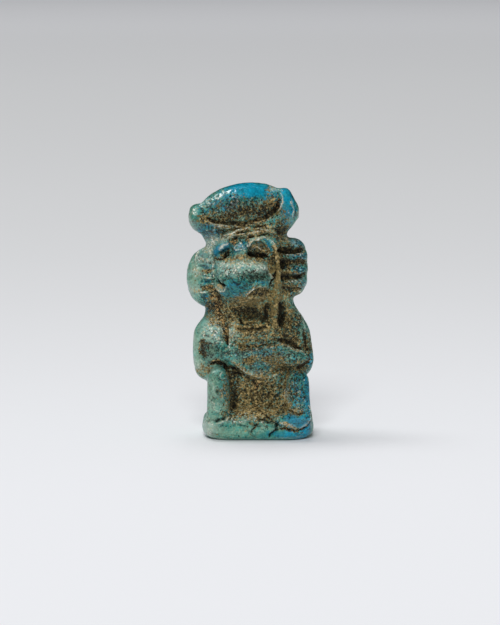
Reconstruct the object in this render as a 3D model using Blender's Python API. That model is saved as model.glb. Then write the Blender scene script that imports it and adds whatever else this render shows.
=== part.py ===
"""Amulet of a squatting baboon, moulded in one piece of blue-green faience.

The animal sits upright on a low base with its hands over its drawn-up knees. Its mane hangs in
ridged locks beside the face and as a cape over the chest, and a moon disc in a crescent lies on
its head. A pierced lug behind the head takes the cord. The piece is worn and a little lopsided.

Metres, +Z up, the face towards -Y, the origin under the middle of the whole width and depth.
Free forms are shares of the figure's height: 1 unit is a hundredth of it, z = 0 is the base's top.
"""

from collections import namedtuple

import bmesh
import bpy
import numpy as np

MM = 0.001

# Driving sizes
FIGURE_HEIGHT = 22.84 * MM
BASE_HEIGHT = 2.16 * MM
BASE_WIDTH = 10.9 * MM
BASE_DEPTH = 9.4 * MM
BASE_OFFSET = 0.73 * MM
BASE_CORNER_RADIUS = 2.8 * MM
BASE_EDGE_RADIUS = 1.0 * MM
LUG_HOLE_DIAMETER = 1.5 * MM
LUG_WALL = 0.8 * MM
LUG_WIDTH = 2.6 * MM
LUG_EDGE_RADIUS = 0.5 * MM

# Fineness of the surface
GRID_STEP = 0.19 * MM
FACE_COUNT = 9000
UNDERSIDE_TRIM = 0.02 * MM
POINT_TOLERANCE = 0.001 * MM
PINCH_FILL = 0.02 * MM
CELL_CORNERS = 8

# Room that the free forms need, in units
FORMS_WIDTH = 60.0
FORMS_DEPTH = 62.0
FORMS_TOP = 103.0

# A rounded form: its middle, its half sizes, its lean to the right in degrees, and how square it is
Lump = namedtuple("Lump", "at half lean square", defaults=(0.0, 2.0))
# A rounded bar or a cut groove along a path of points, with the radius at each of them
Bar = namedtuple("Bar", "path radii deep", defaults=(1.0,))

# Moon disc and crescent
MOON_DISC = Lump(at=(-3.6, -1.5, 89.7), half=(18.6, 9.0, 9.7), lean=10.0)
CRESCENT = Bar(
    path=(
        (-22.8, -1.0, 87.0), (-20.6, -1.5, 82.6), (-6.0, -1.5, 78.8),
        (9.5, -1.5, 81.2), (16.1, -1.5, 86.6), (15.3, -1.2, 91.0), (14.4, -1.0, 94.6),
    ),
    radii=(3.6, 4.8, 5.0, 5.4, 4.7, 3.8, 3.0),
    deep=1.75,
)
DISC_GROOVE = Bar(
    path=(
        (-18.0, -9.6, 84.4), (-12.5, -11.0, 82.3), (-6.0, -11.6, 81.4), (0.5, -11.6, 81.9),
        (7.0, -10.8, 83.9), (11.4, -9.4, 87.6), (13.2, -7.4, 91.8), (13.0, -5.6, 95.4),
    ),
    radii=(0.2, 1.0, 1.3, 1.4, 1.7, 1.9, 1.5, 0.6),
)
HORN_FLAKE = Lump(at=(18.8, 2.5, 86.0), half=(2.3, 2.6, 3.6))

# Head
SKULL = Lump(at=(-3.5, 1.5, 66.0), half=(16.0, 11.5, 14.0))
BROW_BAND = Lump(at=(-2.5, 0.5, 77.2), half=(17.9, 10.2, 6.0), square=2.6)
FACE = Lump(at=(-3.0, -4.5, 64.5), half=(12.8, 8.8, 13.2), square=2.3)
MUZZLE = Lump(at=(-3.5, -9.8, 59.6), half=(11.9, 10.2, 8.2), square=2.2)
JAW = Lump(at=(-1.8, -7.5, 53.6), half=(8.6, 8.2, 4.8))
NOSE_BRIDGE = Lump(at=(-3.9, -10.2, 72.6), half=(2.8, 3.0, 4.4))
BROW_LEFT = Bar(
    path=((-14.6, -8.6, 70.5), (-13.4, -10.4, 73.0), (-10.8, -11.6, 74.6), (-7.6, -11.8, 74.9)),
    radii=(1.1, 1.5, 1.7, 1.2),
)
BROW_RIGHT = Bar(
    path=(
        (-1.7, -11.6, 74.1), (0.4, -12.0, 76.1), (3.0, -12.0, 76.9),
        (6.0, -11.4, 76.3), (8.6, -10.0, 73.8), (9.9, -8.4, 70.6),
    ),
    radii=(0.9, 1.2, 1.3, 1.3, 1.2, 0.8),
)
EYE_HOLLOW_LEFT = Lump(at=(-10.3, -13.4, 70.9), half=(2.7, 3.6, 1.7))
EYE_HOLLOW_RIGHT = Lump(at=(3.5, -13.6, 71.0), half=(5.2, 4.2, 2.5))
MOUTH_SLIT = Bar(
    path=((-16.4, -8.0, 60.2), (-14.2, -13.0, 58.8), (-10.6, -17.2, 56.0)),
    radii=(0.3, 1.2, 0.5),
)
LOWER_LIP = Bar(
    path=((-14.0, -9.0, 54.4), (-10.8, -12.4, 53.2), (-8.0, -13.4, 52.6)),
    radii=(1.0, 1.3, 0.9),
)
NECK = Lump(at=(1.0, 0.0, 47.5), half=(17.0, 10.4, 11.0), square=2.3)
CHIN_HOLLOW = Lump(at=(-1.6, -13.5, 44.6), half=(7.0, 6.4, 3.6))

# Mane: ridged locks beside the face, a strand down the right cheek, the cape over back and chest
LOCK_LEFT = Lump(at=(-17.6, 2.5, 58.6), half=(10.0, 9.8, 13.0), square=2.1)
LOCK_RIGHT = Lump(at=(13.9, 2.5, 62.9), half=(10.8, 10.4, 12.6), square=3.5)
RIDGE_COUNT = 4
RIDGE_TOP = 70.7
RIDGE_PITCH = 5.5
RIDGE_HALF_WIDTH = 1.2
RIDGE_DEPTH_LEFT = 0.5
RIDGE_DEPTH_RIGHT = 1.7
RIDGE_FADE_SHARE = 0.3
RIDGE_FRONT_DEPTH = 5.0
CHEEK_STRAND = Bar(
    path=(
        (6.9, -7.0, 77.5), (9.9, -7.0, 74.9), (11.6, -6.8, 69.2), (12.3, -6.8, 63.1),
        (11.8, -6.8, 56.1), (11.2, -7.4, 50.0), (10.8, -8.8, 43.6), (9.6, -10.8, 37.0),
    ),
    radii=(0.7, 1.1, 1.3, 1.4, 1.4, 1.6, 1.7, 1.4),
    deep=2.2,
)
CHEEK_TRENCH = Bar(
    path=(
        (13.9, -6.6, 73.6), (14.9, -8.0, 67.5), (14.9, -8.4, 60.0),
        (14.3, -8.6, 52.0), (13.8, -10.2, 44.9), (13.4, -11.8, 39.0),
    ),
    radii=(0.3, 1.4, 1.6, 1.4, 1.9, 0.6),
)
THROAT_TRENCH = Bar(
    path=((8.8, -9.0, 50.5), (7.9, -10.6, 45.5), (6.6, -13.0, 39.0)),
    radii=(0.3, 1.6, 0.4),
)
FACE_CONTOUR_LEFT = Bar(
    path=((-15.6, -9.4, 74.5), (-16.2, -8.4, 67.0), (-15.9, -8.0, 58.0)),
    radii=(0.2, 0.9, 0.7),
)
BACK_CAPE = Lump(at=(-0.6, 7.0, 38.0), half=(19.2, 10.5, 26.0), square=2.4)
CHEST_CAPE = Lump(at=(1.2, -4.0, 30.2), half=(14.4, 10.8, 13.8), square=2.5)
COLLAR_GROOVE = Bar(
    path=(
        (-6.5, -12.4, 38.9), (-3.0, -14.0, 38.5), (1.0, -14.6, 38.0),
        (5.0, -14.2, 38.3), (8.5, -12.6, 39.0),
    ),
    radii=(0.2, 0.9, 1.0, 0.9, 0.2),
)
LAPPET_GROOVE = Bar(
    path=((-13.4, -7.0, 47.5), (-11.0, -10.6, 41.4), (-9.4, -12.8, 36.4), (-8.0, -15.0, 30.0)),
    radii=(1.4, 2.0, 1.4, 0.2),
)

# Trunk and limbs
TRUNK = Lump(at=(1.5, 3.5, 20.0), half=(19.5, 13.0, 22.0), square=2.4)
BELLY = Lump(at=(3.6, -1.0, 10.0), half=(14.0, 9.8, 17.0), square=2.4)
SHOULDER_LEFT = Lump(at=(-14.0, -1.0, 33.4), half=(9.2, 11.0, 10.4))
SHOULDER_RIGHT = Lump(at=(14.2, -1.0, 34.8), half=(9.8, 11.2, 12.2))
ARM_LEFT = Bar(
    path=((-15.9, -3.0, 32.0), (-17.2, -4.0, 26.0), (-18.4, -4.0, 20.2)),
    radii=(8.5, 7.6, 5.6),
)
ARM_RIGHT = Bar(
    path=((18.0, -2.5, 33.0), (20.2, -3.5, 26.0), (21.6, -3.5, 21.4)),
    radii=(7.6, 6.8, 5.2),
)
FOREARM_LEFT = Bar(
    path=((-18.8, -6.0, 22.5), (-13.5, -11.0, 27.6), (-5.0, -10.6, 27.0)),
    radii=(4.6, 4.4, 4.4),
)
FOREARM_RIGHT = Bar(
    path=((22.4, -5.5, 23.8), (17.5, -10.2, 25.6), (8.0, -10.4, 27.0)),
    radii=(4.2, 4.2, 4.0),
)
ARM_TRENCH = Bar(
    path=((10.5, -14.2, 34.0), (14.5, -13.6, 32.0), (18.5, -12.6, 30.0), (23.5, -10.0, 27.8)),
    radii=(0.2, 1.5, 1.5, 0.2),
)
THIGH_LEFT = Bar(path=((-10.5, 5.0, 7.0), (-13.0, -9.0, 15.5)), radii=(7.6, 5.0))
THIGH_RIGHT = Bar(path=((17.0, 5.0, 7.0), (20.0, -7.0, 13.0)), radii=(8.3, 5.0))
SHIN_LEFT = Bar(
    path=((-13.7, -14.0, 17.0), (-13.9, -14.7, 5.0), (-14.0, -15.2, -3.0)),
    radii=(4.8, 4.8, 5.0),
)
SHIN_RIGHT = Bar(
    path=((20.3, -11.8, 15.2), (20.7, -13.0, 5.0), (20.8, -13.6, -3.0)),
    radii=(4.9, 5.0, 5.2),
)
KNEE_GROOVE_LEFT = Bar(
    path=(
        (-19.8, -11.0, 18.6), (-17.6, -14.4, 22.0), (-13.9, -16.4, 23.4),
        (-10.3, -15.6, 22.4), (-8.2, -14.4, 18.8), (-7.8, -13.2, 12.0),
    ),
    radii=(0.2, 1.1, 1.3, 1.3, 1.4, 0.3),
)
KNEE_GROOVE_RIGHT = Bar(
    path=((14.2, -13.6, 17.0), (17.2, -14.2, 20.4), (21.5, -13.6, 21.6), (26.0, -9.0, 21.6)),
    radii=(0.3, 1.1, 1.2, 0.2),
)
FOOT_LEFT = Lump(at=(-14.0, -15.5, -2.0), half=(5.4, 5.0, 5.0))
FOOT_RIGHT = Lump(at=(20.2, -15.8, 0.6), half=(6.2, 5.6, 4.6))
TOE_CREVICE = Bar(
    path=((13.0, -19.4, -2.4), (18.0, -21.6, -5.2), (21.5, -21.0, -4.6), (25.8, -17.6, -1.2)),
    radii=(0.2, 1.0, 1.0, 0.2),
)
GROUND_BETWEEN_FEET = Lump(at=(3.5, -11.5, -1.0), half=(15.0, 8.4, 6.0))
LEG_SIDE_LEFT = Lump(at=(-11.6, -3.5, 4.0), half=(6.6, 11.0, 9.5), square=2.6)
LEG_SIDE_RIGHT = Lump(at=(17.8, -3.0, 4.0), half=(7.4, 11.0, 9.5), square=2.6)
HIP_LEFT = Lump(at=(-7.5, 6.5, 7.5), half=(10.8, 12.0, 13.0))
HIP_RIGHT = Lump(at=(14.5, 6.5, 7.5), half=(11.0, 12.0, 13.0))

# Lug for the cord, behind the head, in units
LUG_UP = 68.0
LUG_BACK = 11.6
LUG_SIDE = -3.5

# How softly neighbouring forms run into each other, in units
SOFT_BODY = 4.0
SOFT_FEATURE = 1.8
SOFT_GROOVE = 1.1
REACH_OF_SOFTNESS = 5.0

FAIENCE_COLOUR = (0.075, 0.265, 0.255, 1.0)
FAIENCE_ROUGHNESS = 0.45


def unit():
    """Length of one unit of the free forms."""
    return FIGURE_HEIGHT / 100


def turned(points, lean):
    """The points seen from a form that leans to the right by that many degrees."""
    angle = np.radians(lean)
    x = points[:, 0] * np.cos(angle) + points[:, 2] * np.sin(angle)
    z = points[:, 2] * np.cos(angle) - points[:, 0] * np.sin(angle)
    return np.stack([x, points[:, 1], z], axis=1)


def lump(points, form):
    """Distance of each point from a rounded form, less than 0 inside it."""
    half = np.array(form.half)
    local = np.abs(turned(points - np.array(form.at), form.lean)) / half
    size = np.maximum((local**form.square).sum(axis=1) ** (1 / form.square), 1e-6)
    slope = (local / size[:, None]) ** (form.square - 1) / half
    return (size - 1) / np.maximum(np.linalg.norm(slope, axis=1), 1e-6)


def bar(points, form):
    """Distance of each point from a rounded bar, or from its box where the point is far away."""
    path, radii = smooth_path(form)
    thick = max(radii) * np.array([1.0, form.deep, 1.0])
    beyond = np.maximum(path.min(axis=0) - thick - points, points - path.max(axis=0) - thick)
    distance = np.linalg.norm(np.maximum(beyond, 0), axis=1)
    near = distance < REACH_OF_SOFTNESS
    distance[near] = bar_alone(points[near], path, radii, form.deep)
    return distance


def bar_alone(points, path, radii, deep):
    """Distance of each point from a rounded bar along straight pieces."""
    stretch = np.array([1.0, 1.0 / deep, 1.0])
    points, path = points * stretch, path * stretch
    nearest = np.full(len(points), np.inf)
    for start, end, radius, next_radius in zip(path, path[1:], radii, radii[1:]):
        step = end - start
        share = np.clip((points - start) @ step / (step @ step), 0, 1)
        away = np.linalg.norm(points - start - share[:, None] * step, axis=1)
        nearest = np.minimum(nearest, away - radius - share * (next_radius - radius))
    return nearest


def smooth_path(form, pieces=4):
    """A curve through a bar's points, with that many straight pieces from each point to the next."""
    knots = np.column_stack([np.array(form.path), np.array(form.radii)])
    if len(knots) < 3:
        return knots[:, :3], knots[:, 3]
    ends = np.vstack([2 * knots[0] - knots[1], knots, 2 * knots[-1] - knots[-2]])
    curve = [knots[0]]
    for before, a, b, after in zip(ends, ends[1:], ends[2:], ends[3:]):
        for share in np.linspace(0, 1, pieces + 1)[1:]:
            bend = (b - before, 2 * before - 5 * a + 4 * b - after, 3 * a - before - 3 * b + after)
            curve.append(a + 0.5 * share * (bend[0] + share * (bend[1] + share * bend[2])))
    curve = np.array(curve)
    return curve[:, :3], curve[:, 3]


def join(a, b, softness):
    """Two forms as one, with a fillet where they meet."""
    share = np.clip(0.5 + 0.5 * (b - a) / softness, 0, 1)
    return b + (a - b) * share - softness * share * (1 - share)


def cut(a, b, softness):
    """The first form without the second, with softened edges."""
    return -join(-a, b, softness)


def ridges(points, depth):
    """How far the mane's grooves lower a lock: most in front, and less round its side and back."""
    lowered = np.zeros(len(points))
    for number in range(RIDGE_COUNT):
        middle = RIDGE_TOP - number * RIDGE_PITCH
        lowered += depth * np.exp(-(((points[:, 2] - middle) / RIDGE_HALF_WIDTH) ** 2))
    in_front = np.clip(-points[:, 1] / RIDGE_FRONT_DEPTH, 0, 1)
    return lowered * (RIDGE_FADE_SHARE + (1 - RIDGE_FADE_SHARE) * in_front)


def headdress(points):
    """Moon disc lying in a crescent, with the groove between them."""
    form = join(lump(points, MOON_DISC), bar(points, CRESCENT), SOFT_FEATURE)
    form = join(form, lump(points, HORN_FLAKE), SOFT_GROOVE)
    return cut(form, bar(points, DISC_GROOVE), SOFT_FEATURE)


def head(points):
    """Skull, face and muzzle with the brows, the eye hollows and the mouth's left corner."""
    form = join(lump(points, SKULL), lump(points, BROW_BAND), SOFT_BODY)
    form = join(form, lump(points, FACE), SOFT_FEATURE)
    for part in (MUZZLE, JAW, NOSE_BRIDGE):
        form = join(form, lump(points, part), SOFT_BODY)
    for brow in (BROW_LEFT, BROW_RIGHT, LOWER_LIP):
        form = join(form, bar(points, brow), SOFT_FEATURE)
    for hollow in (EYE_HOLLOW_LEFT, EYE_HOLLOW_RIGHT):
        form = cut(form, lump(points, hollow), SOFT_FEATURE)
    return cut(form, bar(points, MOUTH_SLIT), SOFT_GROOVE)


def locks(points):
    """The mane's two ridged locks beside the face."""
    left = lump(points, LOCK_LEFT) + ridges(points, RIDGE_DEPTH_LEFT)
    right = lump(points, LOCK_RIGHT) + ridges(points, RIDGE_DEPTH_RIGHT)
    return np.minimum(left, right)


def upper_body(points):
    """Trunk, hips, arms and the mane's cape, which run into one another."""
    form = lump(points, TRUNK)
    for part in (BELLY, HIP_LEFT, HIP_RIGHT, BACK_CAPE, NECK, SHOULDER_LEFT, SHOULDER_RIGHT):
        form = join(form, lump(points, part), SOFT_BODY)
    for part in (ARM_LEFT, ARM_RIGHT):
        form = join(form, bar(points, part), SOFT_BODY)
    front = lump(points, CHEST_CAPE)
    for part in (FOREARM_LEFT, FOREARM_RIGHT):
        front = join(front, bar(points, part), SOFT_BODY)
    return join(form, front, SOFT_FEATURE)


def legs(points):
    """Folded legs and feet, with the ground between them."""
    form = bar(points, SHIN_LEFT)
    for part in (SHIN_RIGHT, THIGH_LEFT, THIGH_RIGHT):
        form = join(form, bar(points, part), SOFT_FEATURE)
    for part in (LEG_SIDE_LEFT, LEG_SIDE_RIGHT, FOOT_LEFT, FOOT_RIGHT, GROUND_BETWEEN_FEET):
        form = join(form, lump(points, part), SOFT_FEATURE)
    return form


def figure(points):
    """The whole animal with its headdress, in units."""
    form = join(upper_body(points), legs(points), SOFT_FEATURE)
    form = join(form, locks(points), SOFT_FEATURE)
    form = cut(form, bar(points, CHEEK_TRENCH), SOFT_FEATURE)
    form = join(form, head(points), SOFT_FEATURE)
    form = join(form, headdress(points), SOFT_FEATURE)
    form = cut(form, lump(points, CHIN_HOLLOW), SOFT_FEATURE)
    for groove in (THROAT_TRENCH, COLLAR_GROOVE, LAPPET_GROOVE, ARM_TRENCH):
        form = cut(form, bar(points, groove), SOFT_FEATURE)
    for groove in (KNEE_GROOVE_LEFT, KNEE_GROOVE_RIGHT, FACE_CONTOUR_LEFT):
        form = cut(form, bar(points, groove), SOFT_FEATURE)
    return join(form, bar(points, CHEEK_STRAND), SOFT_FEATURE)


def rounded_slab(flat, across, half_thickness, edge):
    """Distance from a slab with rounded edges, from the distance to its outline and across it."""
    sides = np.stack([flat + edge, np.abs(across) - half_thickness + edge], axis=1)
    return np.linalg.norm(np.maximum(sides, 0), axis=1) + np.minimum(sides.max(axis=1), 0) - edge


def base(points):
    """Low base with rounded corners, whose middle is offset like the worn original's."""
    half = np.array([BASE_WIDTH, BASE_DEPTH]) / 2 - BASE_CORNER_RADIUS
    beyond = np.abs(points[:, :2] - np.array([BASE_OFFSET, 0.0])) - half
    outline = np.linalg.norm(np.maximum(beyond, 0), axis=1) + np.minimum(beyond.max(axis=1), 0)
    across = points[:, 2] - BASE_HEIGHT / 2
    return rounded_slab(outline - BASE_CORNER_RADIUS, across, BASE_HEIGHT / 2, BASE_EDGE_RADIUS)


def lug_place():
    """Middle of the hole for the cord."""
    side, back, up = np.array([LUG_SIDE, LUG_BACK, LUG_UP]) * unit()
    return np.array([side, back + LUG_HOLE_DIAMETER / 2, up + BASE_HEIGHT])


def lug(points):
    """The lug's outside and its hole, which runs from side to side."""
    local = points - lug_place()
    from_axis = np.linalg.norm(local[:, 1:], axis=1)
    outline = from_axis - LUG_HOLE_DIAMETER / 2 - LUG_WALL
    outside = rounded_slab(outline, local[:, 0], LUG_WIDTH / 2, LUG_EDGE_RADIUS)
    return outside, from_axis - LUG_HOLE_DIAMETER / 2


def amulet(points):
    """Distance of each point from the amulet's surface, in metres, less than 0 inside."""
    step = unit()
    local = (points - np.array([0.0, 0.0, BASE_HEIGHT])) / step
    form = join(figure(local) * step, base(points), SOFT_GROOVE * step)
    form = cut(form, bar(local, TOE_CREVICE) * step, SOFT_GROOVE * step)
    outside, hole = lug(points)
    form = join(form, outside, SOFT_FEATURE * step)
    return cut(form, hole, SOFT_GROOVE * step)


def grid_axes():
    """Evenly spaced places along X, Y and Z that take in the whole amulet."""
    reach = 0.5 * max(BASE_WIDTH + 2 * BASE_OFFSET, FORMS_WIDTH * unit())
    deep = 0.5 * max(BASE_DEPTH, FORMS_DEPTH * unit()) + LUG_WALL
    low = np.array([-reach, -deep, 0.0]) - 2 * GRID_STEP
    high = np.array([reach, deep, BASE_HEIGHT + FORMS_TOP * unit()])
    return [np.arange(a, b + GRID_STEP, GRID_STEP) for a, b in zip(low, high)]


def sampled(axes):
    """The distance at every point of the grid, one slice of X at a time."""
    y, z = np.meshgrid(axes[1], axes[2], indexing="ij")
    slices = [amulet(np.column_stack([np.full(y.size, x), y.ravel(), z.ravel()])) for x in axes[0]]
    return np.array(slices).reshape([len(axis) for axis in axes])


def evened(field):
    """The field with each value mixed with its neighbours', which takes off needle-sharp edges."""
    for axis in range(3):
        along = np.moveaxis(field, axis, 0)
        before = np.concatenate([along[:1], along[:-1]])
        after = np.concatenate([along[1:], along[-1:]])
        field = np.moveaxis(0.25 * before + 0.5 * along + 0.25 * after, 0, axis)
    return field


def filled(field):
    """The field with its pinches filled: places where two walls would touch along one grid line."""
    while True:
        inside = field < 0
        pinched = np.zeros(field.shape, bool)
        for axis in range(3):
            walls = np.moveaxis(inside, axis, 0)
            marks = np.moveaxis(pinched, axis, 0)
            a, b = walls[:, :-1, :-1], walls[:, 1:, :-1]
            c, d = walls[:, 1:, 1:], walls[:, :-1, 1:]
            crossed = (a == c) & (b == d) & (a != b)
            for row, column in np.ndindex(2, 2):
                rows, columns = crossed.shape[1:]
                marks[:, row : row + rows, column : column + columns] |= crossed
        pinched &= ~inside
        if not pinched.any():
            return field
        field = np.where(pinched, -PINCH_FILL, field)


def surface_points(field, low):
    """The middle of the places where the surface crosses the edges of each grid cell, in steps."""
    total = np.zeros([len(low), 3])
    count = np.zeros([len(low), 1])
    for axis in range(3):
        along = np.eye(3, dtype=int)[axis]
        for corner in np.ndindex(2, 2):
            start = low + np.insert(corner, axis, 0)
            first = field[tuple(start.T)]
            last = field[tuple((start + along).T)]
            crossed = (first < 0) != (last < 0)
            share = first[crossed] / (first[crossed] - last[crossed])
            total[crossed] += start[crossed] + share[:, None] * along
            count[crossed] += 1
    return total / count


def crossings(inside, axis):
    """Grid edges along one axis whose ends lie on either side of the surface."""
    along = np.moveaxis(inside, axis, 0)
    return np.moveaxis(along[:-1] != along[1:], 0, axis)


def skin(field, axes):
    """Points and four-sided faces of the surface: one point in each grid cell that it crosses."""
    inside = field < 0
    corners_inside = np.zeros([size - 1 for size in field.shape], int)
    for corner in np.ndindex(2, 2, 2):
        window = tuple(slice(c, c + size) for c, size in zip(corner, corners_inside.shape))
        corners_inside += inside[window]
    crossed = (corners_inside > 0) & (corners_inside < CELL_CORNERS)
    number = np.full(crossed.shape, -1)
    number[crossed] = np.arange(crossed.sum())
    start = np.array([axis[0] for axis in axes])
    points = start + surface_points(field, np.argwhere(crossed)) * GRID_STEP
    faces = []
    for axis in range(3):
        first, second = np.delete(np.eye(3, dtype=int), axis, axis=0)
        at = np.argwhere(crossings(inside, axis))
        ring = [at, at - first, at - first - second, at - second]
        quads = np.stack([number[tuple(corner.T)] for corner in ring], axis=1)
        backwards = inside[tuple(at.T)] == (axis != 1)
        quads[backwards] = quads[backwards][:, ::-1]
        faces.append(quads)
    return points, np.concatenate(faces)


def clear_scene():
    for obj in list(bpy.data.objects):
        bpy.data.objects.remove(obj, do_unlink=True)


def faience():
    material = bpy.data.materials.new("faience")
    material.use_nodes = True
    shader = material.node_tree.nodes["Principled BSDF"]
    shader.inputs["Base Color"].default_value = FAIENCE_COLOUR
    shader.inputs["Roughness"].default_value = FAIENCE_ROUGHNESS
    shader.inputs["Metallic"].default_value = 0.0
    return material


def with_fewer_faces(obj, count):
    """The object's mesh thinned to about that many three-sided faces."""
    whole = sum(len(face.vertices) - 2 for face in obj.data.polygons)
    thinning = obj.modifiers.new("fewer_faces", "DECIMATE")
    thinning.ratio = count / whole
    bpy.context.view_layer.update()
    graph = bpy.context.evaluated_depsgraph_get()
    mesh = bpy.data.meshes.new_from_object(obj.evaluated_get(graph))
    obj.modifiers.clear()
    return mesh


def level_underside(mesh):
    """Cuts the mesh off level at the ground and closes it with one flat face."""
    shape = bmesh.new()
    shape.from_mesh(mesh)
    everything = shape.verts[:] + shape.edges[:] + shape.faces[:]
    ground = bmesh.ops.bisect_plane(
        shape,
        geom=everything,
        dist=POINT_TOLERANCE,
        plane_co=(0, 0, UNDERSIDE_TRIM),
        plane_no=(0, 0, -1),
        clear_outer=True,
    )
    rim = [item for item in ground["geom_cut"] if isinstance(item, bmesh.types.BMEdge)]
    bmesh.ops.contextual_create(shape, geom=rim)
    bmesh.ops.recalc_face_normals(shape, faces=shape.faces)
    shape.to_mesh(mesh)
    shape.free()


def centred(mesh):
    """Moves the mesh onto the ground, with the origin under the middle of its width and depth."""
    points = np.array([vertex.co[:] for vertex in mesh.vertices])
    middle = (points.min(axis=0) + points.max(axis=0)) / 2
    middle[2] = points[:, 2].min()
    for vertex, point in zip(mesh.vertices, points - middle):
        vertex.co = point


def make_amulet():
    """The baboon, its headdress, base and lug as one solid."""
    axes = grid_axes()
    points, faces = skin(filled(evened(sampled(axes))), axes)
    mesh = bpy.data.meshes.new("baboon_amulet")
    mesh.from_pydata(points.tolist(), [], faces.tolist())
    obj = bpy.data.objects.new("baboon_amulet", mesh)
    bpy.context.scene.collection.objects.link(obj)
    obj.data = with_fewer_faces(obj, FACE_COUNT)
    level_underside(obj.data)
    centred(obj.data)
    obj.data.materials.append(faience())
    obj.data.shade_smooth()


def main():
    clear_scene()
    make_amulet()


main()
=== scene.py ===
"""Looks of a moulded faience amulet: a squatting baboon with a moon disc on its head.

The amulet's solid comes from the frame. Here it gets its finer relief as mesh, the marks of its glaze,
wear and burial, with painted highlights and painted shade, as attributes on the mesh's points, and
grains of earth in its hollows.
Places on the front are given as they stand in the 500 by 625 photograph, counted from its upper
left corner, and are found on the surface through the same eye as the camera's.
"""

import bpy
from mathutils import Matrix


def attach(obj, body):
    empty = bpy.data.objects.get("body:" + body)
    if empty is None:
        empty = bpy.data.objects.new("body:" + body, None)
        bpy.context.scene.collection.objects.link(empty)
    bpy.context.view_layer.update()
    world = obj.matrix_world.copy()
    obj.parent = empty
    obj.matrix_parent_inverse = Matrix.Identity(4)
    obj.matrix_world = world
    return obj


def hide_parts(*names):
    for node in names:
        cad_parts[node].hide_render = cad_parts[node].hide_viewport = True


bl_info = {
    "name": "Baboon amulet",
    "version": (1, 0, 0),
    "blender": (4, 5, 0),
    "location": "3D View > Sidebar > Amulet",
    "description": "Builds a worn faience amulet of a squatting baboon",
    "category": "Add Mesh",
}

import math
from collections import namedtuple

import bmesh
import bpy
import numpy as np
from mathutils import Vector

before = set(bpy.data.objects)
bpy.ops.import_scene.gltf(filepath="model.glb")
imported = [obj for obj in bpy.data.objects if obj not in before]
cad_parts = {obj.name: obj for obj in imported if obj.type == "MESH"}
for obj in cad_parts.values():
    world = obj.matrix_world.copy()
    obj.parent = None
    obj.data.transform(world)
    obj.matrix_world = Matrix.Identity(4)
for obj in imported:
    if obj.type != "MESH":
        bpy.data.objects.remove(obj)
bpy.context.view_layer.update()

NODE = "baboon_amulet"
MM = 0.001

# The photograph's size in pixels, and how many of them the figure is high
PHOTO_WIDTH = 500
PHOTO_HEIGHT = 625
FIGURE_ROWS = 258
# The figure's height as the eye sees it, in millimetres
FIGURE_SEEN = 25.38
MM_PER_PIXEL = FIGURE_SEEN / FIGURE_ROWS

# The eye: how far it looks down, and its distance in millimetres
EYE_ELEVATION = math.radians(7)
EYE_DISTANCE = 300.0
# The base's lower front edge: its row in the photograph, and where it lies in millimetres
GROUND_ROW = 440
BASE_FRONT = -4.69
# The camera's sensor in millimetres, and the nearest and farthest that it sees in metres
SENSOR_WIDTH = 36.0
CLIP_START = 0.01
CLIP_END = 10.0

# A line on the front: its course in pixels of the photograph, half its width there in pixels,
# how far it is raised (or cut, if less than 0) in millimetres, and how much of each mark it carries
Stroke = namedtuple(
    "Stroke", "course width height earth rust pale dark deep blue smooth", defaults=(0,) * 7
)
# A soft-edged patch on the front: its middle and half sizes in pixels, how much of its mark it
# carries, and its lean in degrees
Patch = namedtuple("Patch", "middle half amount lean", defaults=(0,))
# A random field: the distance over which it changes in millimetres, its number among the fields,
# and how much it counts
Field = namedtuple("Field", "size number weight")

# Strokes named glint or highlight paint highlights with the pale mark; strokes named shade, and the
# dark mark in grooves, holes and sockets, paint shade, the dark mark besides dirt
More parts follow.
